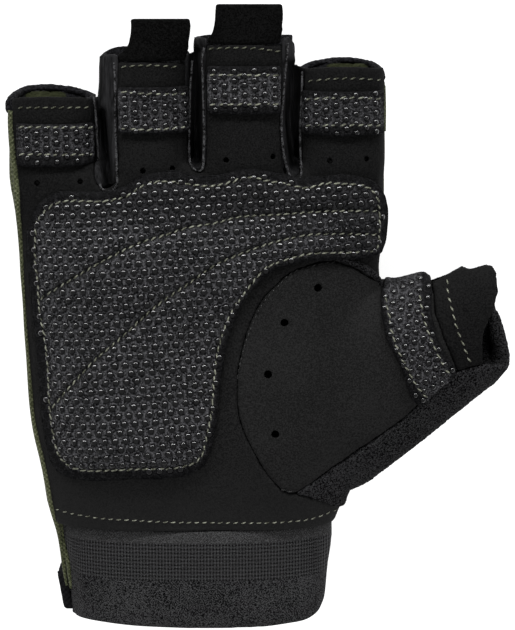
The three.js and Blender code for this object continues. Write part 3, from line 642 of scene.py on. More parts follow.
class Finish:
    """A material in the making: colour, roughness and stacked bumps of one shader."""

    def __init__(self, name, dark, light, roughness, grain_scale, depth, patch_scale=40.0, specular=0.1,
                 contrast=0.5, gain=3.0, stretch=None):
        self.material = bpy.data.materials.new(name)
        self.material.use_nodes = True
        self.tree = self.material.node_tree
        self.shader = self.tree.nodes["Principled BSDF"]
        self.shader.inputs["Specular IOR Level"].default_value = specular
        self.place = add(self.tree, "ShaderNodeTexCoord")
        self.normal = None
        place = self.place.outputs["Object"]
        if stretch:
            longer = add(self.tree, "ShaderNodeMapping")
            longer.inputs["Scale"].default_value = (1, stretch, 1)
            self.tree.links.new(place, longer.inputs["Vector"])
            place = longer.outputs[0]
        grain = self.group(GRAIN, place)
        fill(grain, {"Grain Scale": grain_scale, "Patch Scale": patch_scale})
        self.grain = grain
        tone = self.calc("MULTIPLY_ADD", self.calc("SUBTRACT", grain.outputs["Speckle"], 0.5), gain, 0.5)
        wear = self.calc("SUBTRACT", grain.outputs["Patches"], 0.5)
        self.colour = self.blend(dark, light, self.calc("MULTIPLY_ADD", wear, contrast * 2, tone))
        rough = add(self.tree, "ShaderNodeMapRange")
        fill(rough, {"To Min": roughness - ROUGHNESS_SPREAD, "To Max": roughness + ROUGHNESS_SPREAD})
        self.tree.links.new(grain.outputs["Patches"], rough.inputs["Value"])
        self.tree.links.new(rough.outputs[0], self.shader.inputs["Roughness"])
        self.bump(grain.outputs["Height"], depth)

    def group(self, tree, place):
        node = add(self.tree, "ShaderNodeGroup")
        node.node_tree = tree
        self.tree.links.new(place, node.inputs["Place"])
        return node

    def calc(self, operation, *values):
        return calc(self.tree, operation, *values)

    def weave(self, scale, depth, dark):
        """Over-and-under threads, raised, with painted shade darkening them where they dip."""
        threads = self.group(WEAVE, self.place.outputs["Object"])
        fill(threads, {"Thread Scale": scale})
        self.bump(threads.outputs["Height"], depth)
        # Painted shade: the dark colour shows where the threads dip
        raised = self.calc("MULTIPLY_ADD", threads.outputs["Height"], 0.4, 0.6)
        self.colour = self.blend(dark, self.colour, raised)

    def blend(self, first, second, mask):
        mix = add(self.tree, "ShaderNodeMix", data_type="RGBA")
        for label, value in (("A", first), ("B", second)):
            if isinstance(value, tuple):
                mix.inputs[label].default_value = (*value, 1)
            else:
                self.tree.links.new(value, mix.inputs[label])
        self.tree.links.new(mask, mix.inputs["Factor"])
        return mix.outputs["Result"]

    def bump(self, height, depth):
        bump = add(self.tree, "ShaderNodeBump")
        fill(bump, {"Distance": depth})
        self.tree.links.new(height, bump.inputs["Height"])
        if self.normal:
            self.tree.links.new(self.normal, bump.inputs["Normal"])
        self.normal = bump.outputs["Normal"]

    def done(self):
        self.tree.links.new(self.colour, self.shader.inputs["Base Color"])
        if self.normal:
            self.tree.links.new(self.normal, self.shader.inputs["Normal"])
        return self.material


def plain(name, dark, light, roughness, grain_scale, depth, weave=None, **more):
    """Leather, cloth or thread: grain, speckle and, for cloth, a weave."""
    finish = Finish(name, dark, light, roughness, grain_scale, depth, **more)
    if weave:
        # The weave's dips get painted shade, half as dark as the cloth's dark tone
        finish.weave(*weave, tuple(tone / 2 for tone in dark))
    return finish.done()


# Painted shade inside the fingers: the back's inner face is painted black from this deep in the fingers and
# below this height
INSIDE_SHADE_FROM = 52 * MM
INSIDE_SHADE_BELOW = 8 * MM
# Olive patches inside the little and index openings: centre and half sizes, all below a height
PATCHES = [(-39.4 * MM, 59.3 * MM, 5.1 * MM, 1.5 * MM), (38.9 * MM, 66.8 * MM, 5.2 * MM, 1.3 * MM)]
PATCH_BELOW = 6 * MM


# Painted light and shade mixed into the palm: the tone, from where to where, and its share at either end
PALM_LIGHT_AND_SHADE = [(0.015, -55 * MM, -20 * MM, 0.45, 0), (0.001, 15 * MM, 45 * MM, 0, 0.35)]


def palm_leather():
    """Smooth black leather with painted light that pales it towards the wrist and painted shade that darkens
    it towards the fingers.
    """
    finish = Finish("smooth_leather", grey(0.0034, 0.0035), grey(0.0096), 0.8, 2400, 0.08 * MM,
                    specular=0.03, gain=4.0)
    _, y, _ = split(finish.tree, finish.place.outputs["Object"])
    # Painted light towards the wrist, painted shade towards the fingers
    for tone, low, high, at_low, at_high in PALM_LIGHT_AND_SHADE:
        span = add(finish.tree, "ShaderNodeMapRange", interpolation_type="SMOOTHSTEP")
        fill(span, {"From Min": low, "From Max": high, "To Min": at_low, "To Max": at_high})
        finish.tree.links.new(y, span.inputs["Value"])
        finish.colour = finish.blend(finish.colour, grey(tone), span.outputs[0])
    return finish.done()


def back_cloth():
    """Woven olive cloth whose inner face is painted black as shade from a little inside the finger openings.
    """
    finish = Finish("olive_fabric", (0.036, 0.042, 0.019), (0.12, 0.128, 0.072), 0.85, 1800, 0.05 * MM)
    # The weave's dips get painted shade in this dark olive
    finish.weave(5200, 0.12 * MM, (0.014, 0.0165, 0.007))
    _, _, facing = split(finish.tree, add(finish.tree, "ShaderNodeNewGeometry").outputs["True Normal"])
    _, y, z = split(finish.tree, finish.place.outputs["Object"])
    up = finish.calc("GREATER_THAN", facing, 0.6)
    deep = finish.calc("LESS_THAN", y, INSIDE_SHADE_FROM)
    low = finish.calc("LESS_THAN", z, INSIDE_SHADE_BELOW)
    shaded_inside = finish.calc("MULTIPLY", finish.calc("MULTIPLY", up, deep), low)
    # Painted shade: the upward inner face, deep in the fingers and low, is painted near-black
    finish.colour = finish.blend(finish.colour, grey(0.002), shaded_inside)
    fill(finish.shader, {"Sheen Weight": 0.05})
    return finish.done()


def grip_cloth(name, grid):
    """Rough charcoal cloth that rises into a pale net between the dots and is painted black as shadow close
    around each dot.
    """
    finish = Finish(name, grey(0.001, 0.0012), grey(0.066, 0.07), 0.8, 2400, 0.25 * MM, 300.0, 0.05,
                    gain=4.5)
    turn = add(finish.tree, "ShaderNodeMapping", vector_type="TEXTURE")
    fill(turn, {"Location": (*grid[3], 0), "Rotation": (0, 0, grid[2])})
    finish.tree.links.new(finish.place.outputs["Object"], turn.inputs["Vector"])
    net = finish.group(DOT_NET, turn.outputs[0])
    fill(net, {"Pitch": grid[0], "Row": grid[1]})
    ridge = add(finish.tree, "ShaderNodeMapRange", interpolation_type="SMOOTHSTEP")
    fill(ridge, {"From Min": 0.75 * MM, "From Max": 1.5 * MM})
    finish.tree.links.new(net.outputs["Distance"], ridge.inputs["Value"])
    # Painted shadow: the cloth goes black close around each dot, where the net sinks
    black = grey(0.002, 0.0022)
    raised = finish.calc("MULTIPLY_ADD", ridge.outputs[0], 0.65, 0.35)
    finish.colour = finish.blend(black, finish.colour, raised)
    # The stored darkening: the dark border beyond the seams, and painted shade on the pad and bands
    edge = add(finish.tree, "ShaderNodeAttribute", attribute_type="GEOMETRY", attribute_name="edge")
    finish.colour = finish.blend(finish.colour, black, finish.calc("MULTIPLY", edge.outputs["Fac"], 0.88))
    finish.bump(ridge.outputs[0], 0.12 * MM)
    return finish.done()


def elastic():
    """Charcoal elastic with a zone of small holes in even columns, painted near-black as shade inside them.
    """
    finish = Finish("charcoal_elastic", grey(0.001, 0.0012), grey(0.036, 0.037), 0.85, 2900, 0.1 * MM,
                    60.0, 0.05, gain=6.0)
    wrap = add(finish.tree, "ShaderNodeUVMap", uv_map="wrap")
    rib = finish.group(RIB, wrap.outputs[0])
    upper = finish.calc("MULTIPLY", rib.outputs["Upper"], 0.3)
    finish.colour = finish.blend(finish.colour, grey(0.05), upper)
    even = finish.calc("MULTIPLY", rib.outputs["Zone"], 0.85)
    finish.colour = finish.blend(finish.colour, grey(0.075, 0.077), even)
    # Painted shade: the holes are filled near-black
    finish.colour = finish.blend(finish.colour, grey(0.0006), rib.outputs["Holes"])
    finish.bump(rib.outputs["Knit"], 0.08 * MM)
    finish.bump(finish.calc("MULTIPLY", rib.outputs["Holes"], -1.0), 0.4 * MM)
    return finish.done()


def rim_material():
    """Black binding with the olive inside of the back showing in two soft patches."""
    finish = Finish("black_binding", grey(0.0015, 0.0017), grey(0.014, 0.016), 0.85, 1800, 0.14 * MM,
                    60.0, 0.05, gain=4.5)
    x, y, z = split(finish.tree, finish.place.outputs["Object"])
    patches = []
    for *centre, width, depth in PATCHES:
        shares = [finish.calc("DIVIDE", finish.calc("SUBTRACT", way, middle), half)
                  for way, middle, half in zip((x, y), centre, (width, depth))]
        powers = [finish.calc("POWER", finish.calc("ABSOLUTE", share), 4.0) for share in shares]
        patches.append(finish.calc("SUBTRACT", 1.35, finish.calc("ADD", *powers)))
    low = finish.calc("LESS_THAN", z, PATCH_BELOW)
    mask = finish.calc("MULTIPLY", finish.calc("MULTIPLY", finish.calc("MAXIMUM", *patches), low), 2.0)
    clamp = add(finish.tree, "ShaderNodeClamp")
    finish.tree.links.new(mask, clamp.inputs["Value"])
    green = finish.blend((0.013, 0.0155, 0.0065), (0.042, 0.046, 0.024), finish.grain.outputs["Speckle"])
    finish.colour = finish.blend(finish.colour, green, clamp.outputs[0])
    return finish.done()


LEATHER = palm_leather()
WALL_LEATHER = plain("wall_leather", grey(0.002, 0.0021), grey(0.018, 0.019), 0.8, 2400, 0.1 * MM,
                     patch_scale=420.0, specular=0.03, contrast=1.2, gain=1.5, stretch=0.12)
TAB_LEATHER = plain("tab_leather", grey(0.001), grey(0.0038), 0.8, 2400, 0.06 * MM,
                    specular=0.01, gain=4.0)
END_LEATHER = plain("thumb_end_leather", grey(0.0024, 0.0025), grey(0.0068), 0.8, 2400, 0.08 * MM,
                    specular=0.03, gain=4.0)
THUMB_LEATHER = plain("thumb_leather", grey(0.0055), grey(0.0125), 0.8, 2400, 0.08 * MM,
                      specular=0.03, gain=4.0)
ROLL = plain("turned_leather_edge", grey(0.002), grey(0.048, 0.05), 0.8, 2400, 0.15 * MM,
             patch_scale=700.0, specular=0.05, contrast=1.5, gain=4.0)
FABRIC = back_cloth()
BINDING = rim_material()
PALM_CLOTH = grip_cloth("palm_grip_cloth", PALM_GRID)
FINGER_CLOTH = grip_cloth("finger_grip_cloth", FINGER_GRID)
THUMB_CLOTH = grip_cloth("thumb_grip_cloth", THUMB_GRID)
DOT_RUBBER = plain("grip_dots", grey(0.001, 0.0012), grey(0.003, 0.0033), 0.2, 1200, 0.02 * MM, specular=0.75)
TERRY = plain("black_terry", grey(0.0006, 0.0007), grey(0.024, 0.025), 0.9, 2300, 0.5 * MM, specular=0.03,
              gain=5.0)
ELASTIC = elastic()
STRAP = plain("strap_webbing", grey(0.004, 0.0045), grey(0.009, 0.01), 0.85, 1500, 0.06 * MM,
              weave=(4000, 0.12 * MM))
THREAD = plain("khaki_thread", (0.028, 0.029, 0.019), (0.195, 0.199, 0.16), 0.7, 1500, 0.08 * MM,
               patch_scale=500.0, specular=0.15, gain=3.5)
DULL_THREAD = plain("dull_khaki_thread", (0.019, 0.02, 0.012), (0.105, 0.108, 0.082), 0.75, 1500, 0.08 * MM,
                    patch_scale=500.0, specular=0.1, gain=3.5)
BLACK_THREAD = plain("black_thread", grey(0.001), grey(0.016), 0.5, 2000, 0.06 * MM,
                     specular=0.3, gain=4.0)


def dress(piece, material, slot, *nodes):
    piece.data.materials.clear()
    piece.data.materials.append(material)
    piece.data.polygons.foreach_set("use_smooth", [True] * len(piece.data.polygons))
    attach(piece, "root")
    if nodes:
        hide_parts(*nodes)
    return piece


# Looking things up on finished pieces

HIGH_ABOVE = 100 * MM


def tree_of(pieces):
    vertices, faces = [], []
    for piece in pieces:
        base = len(vertices)
        vertices += [v.co.copy() for v in piece.data.vertices]
        faces += [[base + i for i in polygon.vertices] for polygon in piece.data.polygons]
    return BVHTree.FromPolygons(vertices, faces)


def top_hit(tree, x, y):
    return tree.ray_cast(Vector((x, y, HIGH_ABOVE)), Vector((0, 0, -1)))[:2]


def seen_hit(tree, x, y, level):
    """Where the camera's ray through a place at that level meets a piece."""
    way = (Vector((x, y, level)) - EYE).normalized()
    return tree.ray_cast(EYE, way)[:2]


def mesh_piece(name, vertices, faces):
    mesh = bpy.data.meshes.new(name)
    mesh.from_pydata([tuple(v) for v in vertices], [], faces)
    mesh.update()
    return linked(name, mesh)


# The small shapes that repeat

def taken_apart(piece):
    """The points and faces of a small shape, which is then removed."""
    points = points_of(piece)
    faces = [list(polygon.vertices) for polygon in piece.data.polygons]
    bpy.data.objects.remove(piece)
    return points, faces


def dome_template():
    """A low rubber dot: the upper part of a ball with a radius of one."""
    deselect()
    bpy.ops.mesh.primitive_uv_sphere_add(segments=12, ring_count=10, radius=1)
    ball = bpy.context.view_layer.objects.active
    cut_away(ball, (0, 0, -DOME_DEPTH), (0, 0, -1))
    return taken_apart(ball)


def stitch_template():
    """One short length of thread: a slim grain that dips at both ends."""
    deselect()
    bpy.ops.mesh.primitive_uv_sphere_add(segments=8, ring_count=7, radius=STITCH_RADIUS)
    grain = bpy.context.view_layer.objects.active
    half = STITCH_LENGTH / 2
    with editing(grain):
        bpy.ops.transform.rotate(value=math.pi / 2, orient_axis="Y", center_override=(0, 0, 0))
        bpy.ops.transform.resize(value=(half / STITCH_RADIUS, 1, 1), center_override=(0, 0, 0))
    points, faces = taken_apart(grain)
    points[:, 2] += STITCH_RADIUS * (STITCH_RISE - STITCH_DIP * (points[:, 0] / half) ** 2)
    return points, faces


def placed(base, faces, places):
    """Copies of a small shape: each place has a point, a direction and an up."""
    vertices, all_faces = [], []
    for point, along, up in places:
        side = up.cross(along).normalized()
        along = side.cross(up).normalized()
        turn = np.array([along, side, up]).T
        start = len(vertices)
        vertices.extend((base @ turn.T + np.array(point)).tolist())
        all_faces.extend([[start + i for i in face] for face in faces])
    return vertices, all_faces


def dots_on(piece, name, grid, size, keep_off=(), border=None):
    """Staggered rows of dots wherever the piece faces up."""
    tree = tree_of([piece])
    pitch, row, lean, start = grid
    points = points_of(piece)
    low, high = points.min(axis=0), points.max(axis=0)
    reach = np.linalg.norm(high[:2] - low[:2]) / 2 + np.linalg.norm((high + low)[:2] / 2 - np.array(start))
    rows, columns = int(reach / row) + 1, int(reach / pitch) + 1
    turn = np.array([[math.cos(lean), math.sin(lean)], [-math.sin(lean), math.cos(lean)]])
    spots = np.array([((c + 0.5 * (r % 2)) * pitch, r * row)
                      for r in range(-rows, rows + 1) for c in range(-columns, columns + 1)])
    spots = spots @ turn + np.array(start)
    spots = spots[((spots > low[:2]) & (spots < high[:2])).all(axis=1)]
    angles = np.linspace(0, 2 * math.pi, 8, endpoint=False)
    around = [(DOT_EDGE * math.cos(angle), DOT_EDGE * math.sin(angle)) for angle in angles]
    base, faces = DOME
    base = base * np.array([size[0], size[0], size[1]])
    chosen = []
    for x, y in spots:
        point, normal = top_hit(tree, x, y)
        if point is None or normal.z < 0.2:
            continue
        seen = seen_plan(np.array([point]), PAD_LEVEL)
        if any(distance_to(seen, line)[0] < DOT_OFF_CHANNEL for line in keep_off):
            continue
        if border is not None and not inside(seen, border[:-1])[0]:
            if distance_to(seen, border)[0] > DOT_PAST_SEAM:
                continue
        ring = [top_hit(tree, x + dx, y + dy)[0] for dx, dy in around]
        if any(spot is None or abs(spot.z - point.z) > DOT_STEP for spot in ring):
            continue
        chosen.append((point, Vector((1, 0, 0)), normal))
    return dress(mesh_piece(name, *placed(base, faces, chosen)), DOT_RUBBER, "grip")


def stitch_places(tree, line, level):
    """Places of stitches along a line as the camera sees it."""
    chosen = []
    draw = random.Random(len(line))
    for a, b in zip(line[:-1], line[1:]):
        middle = (a + b) / 2
        point, normal = seen_hit(tree, *middle, level)
        ends = [seen_hit(tree, *(middle + (e - middle) * 0.7), level)[0] for e in (a, b)]
        if point is None or None in ends or (ends[1] - ends[0]).length > 2 * STITCH_PITCH:
            continue
        along = (ends[1] - ends[0]).normalized()
        turn = math.radians(STITCH_LEAN + draw.uniform(-STITCH_SWAY, STITCH_SWAY))
        across = normal.cross(along)
        along = (along * math.cos(turn) + across * math.sin(turn)).normalized()
        chosen.append((point, along, normal))
    return chosen


def stitches(name, pieces, lines, level, slot, material=THREAD, size=1.0, pitch=STITCH_PITCH, closed=False):
    """Rows of stitches along lines on the joined surface of some pieces."""
    tree = tree_of(pieces)
    places = []
    for line in lines:
        places += stitch_places(tree, rounded(line, closed, pitch), level)
    base, faces = STITCH
    return dress(mesh_piece(name, *placed(base * size, faces, places)), material, slot)


def cord(name, points, radii, sides=8):
    """A round strand on a curve through points, made a mesh with closed ends."""
    curve = bpy.data.curves.new(name, "CURVE")
    curve.dimensions = "3D"
    curve.bevel_depth = 1.0
    curve.bevel_resolution = sides // 2 - 2
    curve.use_fill_caps = True
    spline = curve.splines.new("POLY")
    spline.points.add(len(points) - 1)
    for spot, point, radius in zip(spline.points, points, radii):
        spot.co = (*point, 1)
        spot.radius = radius
    activate(linked(name, curve))
    bpy.ops.object.convert(target="MESH")
    piece = bpy.context.view_layer.objects.active
    with editing(piece):
        bpy.ops.mesh.remove_doubles(threshold=FINE_WELD)
        bpy.ops.mesh.normals_make_consistent(inside=False)
    return piece


def along_spine(spine, radii):
    """The radius at each point of a spine, from radii at shares of the way along it."""
    return np.interp(np.linspace(0, 1, len(spine)), *zip(*radii)) * MM


def on_rays(plan, level, heights):
    """Points at these heights that the camera sees where the level places are."""
    eye = np.array(EYE)
    away = np.column_stack([plan, np.full(len(plan), level)]) - eye
    share = (heights - eye[2]) / away[:, 2]
    return eye + away * share[:, None]


LAID_SPREAD = 3


def laid(tree, line, level, step, offset=0.0, drop=0.0):
    """Points of a line laid on a surface, with the height taken to one side of it."""
    plan = rounded(line, False, step)
    way = np.gradient(plan, axis=0)
    way /= np.linalg.norm(way, axis=1)[:, None]
    side = np.stack([-way[:, 1], way[:, 0]], axis=1)
    heights = []
    for (x, y), (sx, sy) in zip(plan, side):
        point = seen_hit(tree, x + sx * offset, y + sy * offset, level)[0]
        heights.append(point.z if point is not None else np.nan)
    heights = np.array(heights)
    known = ~np.isnan(heights)
    heights = np.interp(np.arange(len(plan)), np.flatnonzero(known), heights[known])
    kernel = np.ones(2 * LAID_SPREAD + 1) / (2 * LAID_SPREAD + 1)
    heights = np.convolve(np.pad(heights, LAID_SPREAD, mode="edge"), kernel, mode="valid")
    return on_rays(plan, level, heights - drop)


# The skin's pieces

def soft_piece(node, name, material, slot, voxel=PIECE_VOXEL, rounds=4, grow=SEAM_GROW, shape=None, cuts=(),
               holes=None):
    """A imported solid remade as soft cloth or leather, shaped, and dressed in its place."""
    piece = copy_of([node], name)
    if holes:
        close_holes(piece, *holes)
    remesh(piece, voxel)
    smooth(piece, rounds)
    set_points(piece, points_of(piece) + grow * normals_of(piece))
    relax(piece, CUFF_FIELD if node == "cuff_band" else FIELD)
    for at, facing in cuts:
        cut_away(piece, at, facing)
    if shape:
        points = points_of(piece)
        shape(points, normals_of(piece))
        set_points(piece, points)
    return dress(piece, material, slot, node)


DRILL = 6 * MM


def punch(piece, spots, level, radius):
    """Drills clean round holes where the camera sees them."""
    tree = tree_of([piece])
    cutters = []
    for x, y in np.array(spots) * MM:
        point, normal = seen_hit(tree, x, y, level)
        deselect()
        bpy.ops.mesh.primitive_cylinder_add(vertices=20, radius=radius, depth=DRILL, location=point,
                                            rotation=normal.to_track_quat("Z", "Y").to_euler())
        cutters.append(bpy.context.view_layer.objects.active)
    cutter = join(cutters)
    modify(piece, "BOOLEAN", operation="DIFFERENCE", object=cutter, solver="EXACT")
    bpy.data.objects.remove(cutter)


SLIT_DEPTH = 8 * MM
SLIT_FLOOR = 3 * MM


def sink_slit(slit, width):
    """A shape step that presses a deep fold into a finger wall and ends it at the finger's edge."""
    line = rounded(SLITS[slit], False, 1 * MM)
    top = rounded(WALL_LIMITS[slit], False, 0.5 * MM)

    def shape(points, normals):
        apart, foot = nearest_on(seen_plan(points, FINGER_LEVEL), line)
        low = ramp(points[:, 2], 11, 7) * (apart < 4 * MM) * (points[:, 1] > 44 * MM)
        points[:, 0] += low * np.clip(1.8 * (foot[:, 0] - points[:, 0]), -1.8 * MM, 1.8 * MM)
        points[:, 2] -= np.minimum(SLIT_DEPTH * bell(apart, width), np.maximum(points[:, 2] - SLIT_FLOOR, 0))
        over = seen_plan(points, RIM_LEVEL)[:, 0] > top[0, 0]
        held = points[over]
        keep_below(held, top, RIM_LEVEL)
        points[over] = held
    return shape


# How far the pad rises between its seams and widens to the right, and how deep its lines lie
PAD_CROWN = 0.5 * MM
PAD_WIDER = 1.9 * MM
PAD_SEAM, PAD_RIM, PAD_CHANNEL = 0.8 * MM, 0.6 * MM, 0.85 * MM


def shape_pad(points, normals):
    """Puffs the pad between its seams and thins it along its edge."""
    up = normals[:, 2] > 0.2
    places = seen_plan(points, PAD_LEVEL)
    edge = distance_to(places, PAD_LINE)
    in_rim = ~inside(places, PAD_LINE[:-1])
    drop = PAD_SEAM * bell(edge, 1.1 * MM)
    drop = np.where(in_rim, np.maximum(drop, PAD_RIM), drop)
    for line in (HIGH_LINE, LOW_LINE):
        drop = np.maximum(drop, PAD_CHANNEL * bell(distance_to(places, line), 1.0 * MM))
    crown = PAD_CROWN * (1 - bell(edge, 9 * MM))
    points[:, 2] += np.where(up, np.where(in_rim, 0, crown) - drop, 0)
    points[:, 0] += PAD_WIDER * ramp(points[:, 0], 38, 46)


def darken_border_and_shade(piece, amount):
    """Stores how far the grip cloth is darkened at each place, in its dark border and by painted shade."""
    layer = piece.data.attributes.new("edge", "FLOAT", "POINT")
    layer.data.foreach_set("value", amount)


def darken_pad(piece):
    places = seen_plan(points_of(piece), PAD_LEVEL)
    outside = ~inside(places, PAD_LINE[:-1])
    amount = np.where(outside, ramp(distance_to(places, PAD_LINE), 0, 0.7), 0)
    # Painted shade along the sunk seam and channel lines
    for line in (PAD_LINE, HIGH_LINE, LOW_LINE):
        amount = np.maximum(amount, 0.7 * bell(distance_to(places, line), 0.45 * MM))
    # Painted shade towards the pad's top and right side
    top = 0.7 * ramp(places[:, 1], 27, 36)
    right = 0.6 * ramp(places[:, 0], 33, 42)
    darken_border_and_shade(piece, np.maximum(amount, np.maximum(top, right)))


def darken_band(piece, lines, level, axis, shade=0.0):
    """Darkens a band beyond its two rows of stitches, which run across the axis, and darkens all of it by
    painted shade.
    """
    places = seen_plan(points_of(piece), level)
    along = places[:, 1 - axis]
    rows = []
    for line in lines:
        curve = rounded(line, False, 0.5 * MM)
        order = np.argsort(curve[:, 1 - axis])
        rows.append(np.interp(along, curve[order, 1 - axis], curve[order, axis]))
    low, high = np.minimum(*rows), np.maximum(*rows)
    beyond = np.maximum(low - places[:, axis], places[:, axis] - high)
    darken_border_and_shade(piece, np.maximum(ramp(beyond, 0, 0.7), shade))


def pull_inside(points, outline, level, behind):
    """Brings what stands outside an outline, as the camera sees it, back onto it."""
    outline = np.array(outline) * MM
    closed = np.vstack([outline, np.array(behind) * MM])
    places = seen_plan(points, level)
    _, foot = nearest_on(places, outline)
    beyond = ~inside(places, closed) & (places[:, 0] > outline[0, 0])
    points[beyond, :2] += (foot - places)[beyond]


def shape_tip(points, normals):
    pull_inside(points, TIP_OUTLINE, TIP_LEVEL, [(55, -14), (55, 12)])


def shape_terry(points, normals):
    """Fills the terry out to its lower edge and brings its end inside the outline."""
    edge = np.array(TERRY_LOWER_EDGE) * MM
    reach = ramp(distance_to(seen_plan(points, 10 * MM), edge), 10, 0) * ramp(points[:, 0], 24, 32)
    points[:, 0] += 0.5 * MM * reach
    points[:, 1] -= (0.75 * MM + 1.2 * MM * ramp(points[:, 0], 48, 41)) * reach
    pull_inside(points, TERRY_OUTLINE, TERRY_LEVEL, [(40, -60), (20, -60), (20, 12)])


def shape_strap(points, normals):
    """Keeps the strap's far end behind the cuff and rounds its near end."""
    points[:, 0] -= 5.0 * MM * ramp(points[:, 0], 15, 35)
    left = ramp(points[:, 0], -25, -33)
    points[:, 1] += left * (-0.09) * (points[:, 1] + 75.6 * MM)
    points[:, 0] += left * (0.3 * MM + 1.2 * MM * ramp(points[:, 1], -69, -81))
    round_bottom(points)


def shape_cuff(points, normals):
    """Lets the cuff hang a little lower and flare at its outer corner."""
    down = ramp(points[:, 1], -60, -76)
    points[:, 1] -= 0.9 * MM * down
    left = ramp(points[:, 0], -15, -35)
    points[:, 0] -= 0.9 * MM * down * left
    side = ramp(points[:, 2], 14, 9) * ramp(np.abs(points[:, 0]), 26, 32)
    points[:, 2] -= 2.0 * MM * side
    outer = ramp(points[:, 2], 24, 18) * ramp(points[:, 0], -26, -32)
    points[:, 2] -= 4.0 * MM * outer
    round_bottom(points)


# How far each tab widens to its left and right, and above which line
TAB_WIDENING = {"ring": (0.8 * MM, 0.9 * MM, 71 * MM), "middle": (0, 0.9 * MM, 75.5 * MM)}


def shape_tab(left, right, line):
    """Widens a tab to both sides above a line."""
    def shape(points, normals):
        low, high = points[:, 0].min(), points[:, 0].max()
        share = ease((points[:, 0] - low) / (high - low))
        rise = ease((points[:, 1] - line) / (3 * MM))
        points[:, 0] += (right * share - left * (1 - share)) * rise
    return shape


def keep_below(points, line, level):
    """Brings what shows beyond a line, on the fingers' side of it, back onto the line."""
    places = seen_plan(points, level)
    points[:, 1] -= np.maximum(places[:, 1] - np.interp(places[:, 0], line[:, 0], line[:, 1]), 0)


def shape_rim(finger):
    """Keeps a rim inside the line of its edge."""
    line = rounded(RIM_LIMITS[finger], False, 1 * MM)

    def shape(points, normals):
        keep_below(points, line, RIM_LEVEL)
    return shape


def round_bottom(points):
    """Rounds the lower corners of the cuff and strap to the line that shows."""
    line = rounded(CUFF_EDGE, False, 1 * MM)
    places = seen_plan(points, CUFF_EDGE_LEVEL)
    points[:, 1] += np.maximum(np.interp(places[:, 0], line[:, 0], line[:, 1]) - places[:, 1], 0)


def keep_in_side(points, normals):
    """Tucks the palm's outer edge under the rolled side seam."""
    line = rounded(SIDE_ROLL, False, 2 * MM)
    order = np.argsort(line[:, 1])
    limit = np.interp(points[:, 1], line[order, 1], line[order, 0]) - 0.1 * MM
    limit += 0.9 * MM * ramp(points[:, 1], -38, -46)
    left = (points[:, 0] < limit) & (points[:, 2] > 8 * MM)
    points[left, 0] += (limit - points[:, 0])[left] * ramp(points[left, 2], 8, 12)


def wrap_uv(piece):
    """Unrolls the cuff: arc length over the palm side, and length along it."""
    points = points_of(piece)
    outer = points[normals_of(piece)[:, 2] > 0.1]
    xs = np.linspace(points[:, 0].min(), points[:, 0].max(), 81)
    tops = []
    for x in xs:
        near = outer[np.abs(outer[:, 0] - x) < 1.2 * MM]
        tops.append(near[:, 2].mean() if len(near) else np.nan)
    tops = np.array(tops)
    known = ~np.isnan(tops)
    tops = np.interp(xs, xs[known], tops[known])
    arc = np.concatenate([[0], np.cumsum(np.hypot(np.diff(xs), np.diff(tops)))])
    arc -= np.interp(0, xs, arc)
    along = np.interp(points[:, 0], xs, arc)
    layer = piece.data.uv_layers.new(name="wrap")
    loops = np.empty(len(piece.data.loops), int)
    piece.data.loops.foreach_get("vertex_index", loops)
    layer.data.foreach_set("uv", np.column_stack([along[loops], points[loops, 1]]).reshape(-1))


FIELD = relaxing(SKIN)
CUFF_FIELD = relaxing(["cuff_band"])
PAD_LINE = rounded(PAD_STITCHES, True, STITCH_PITCH)
HIGH_LINE = rounded(CHANNEL_HIGH, False, STITCH_PITCH)
LOW_LINE = rounded(CHANNEL_LOW, False, STITCH_PITCH)
DOME = dome_template()
STITCH = stitch_template()
FINGERS = ("little", "ring", "middle", "index")

palm = soft_piece("palm_panel", "palm_leather", LEATHER, "palm_leather", shape=keep_in_side,
                  holes=(PALM_HOLE_CENTRES, PALM_HOLE_REACH))
punch(palm, PALM_HOLES, PALM_HOLE_LEVEL, PALM_HOLE)
back = soft_piece("back_panel", "back_cloth", FABRIC, "back_fabric")
for gap, width in (("little_ring", 1.1 * MM), ("ring_middle", 1.5 * MM), ("middle_index", 1.5 * MM)):
    soft_piece(f"gusset_{gap}", f"finger_wall_{gap}", WALL_LEATHER, "gusset_leather", voxel=FINE_VOXEL,
               shape=sink_slit(gap, width))
rims = {
    finger: soft_piece(f"edge_binding_{finger}", f"rim_{finger}", BINDING, "binding", voxel=FINE_VOXEL,
                       grow=RIM_GROW, shape=shape_rim(finger))
    for finger in FINGERS
}
for rim in rims.values():
    lumps(rim, 1.1 * MM, 0.35 * MM)
tabs = [
    soft_piece(f"pull_tab_{finger}", f"tab_{finger}", TAB_LEATHER, "tab_leather", voxel=FINE_VOXEL, rounds=1,
               shape=shape_tab(*widening))
    for finger, widening in TAB_WIDENING.items()
]
thumb_front = soft_piece("thumb_pad", "thumb_front", THUMB_LEATHER, "palm_leather",
                         holes=(THUMB_HOLE_CENTRES, THUMB_HOLE_REACH))
punch(thumb_front, THUMB_HOLES, THUMB_LEVEL, THUMB_HOLE)
thumb_end = soft_piece("thumb_hem", "thumb_end", END_LEATHER, "palm_leather", voxel=FINE_VOXEL,
                       shape=shape_tip)
thumb_cloth = soft_piece("thumb_back", "thumb_terry", TERRY, "terry", voxel=FINE_VOXEL, shape=shape_terry)
lumps(thumb_cloth, 0.7 * MM, 0.5 * MM)
pad = soft_piece("grip_pad", "palm_grip", PALM_CLOTH, "grip", shape=shape_pad)
darken_pad(pad)
BAND_CUTS = {"little": [((-45.7 * MM, 0, 0), (-1, 0, 0))], "index": [((47.8 * MM, 0, 0), (1, 0, 0))]}
bands = {
    finger: soft_piece(f"finger_grip_{finger}", f"band_{finger}", FINGER_CLOTH, "grip", voxel=FINE_VOXEL,
                       rounds=3, cuts=BAND_CUTS.get(finger, ()))
    for finger in FINGERS
}
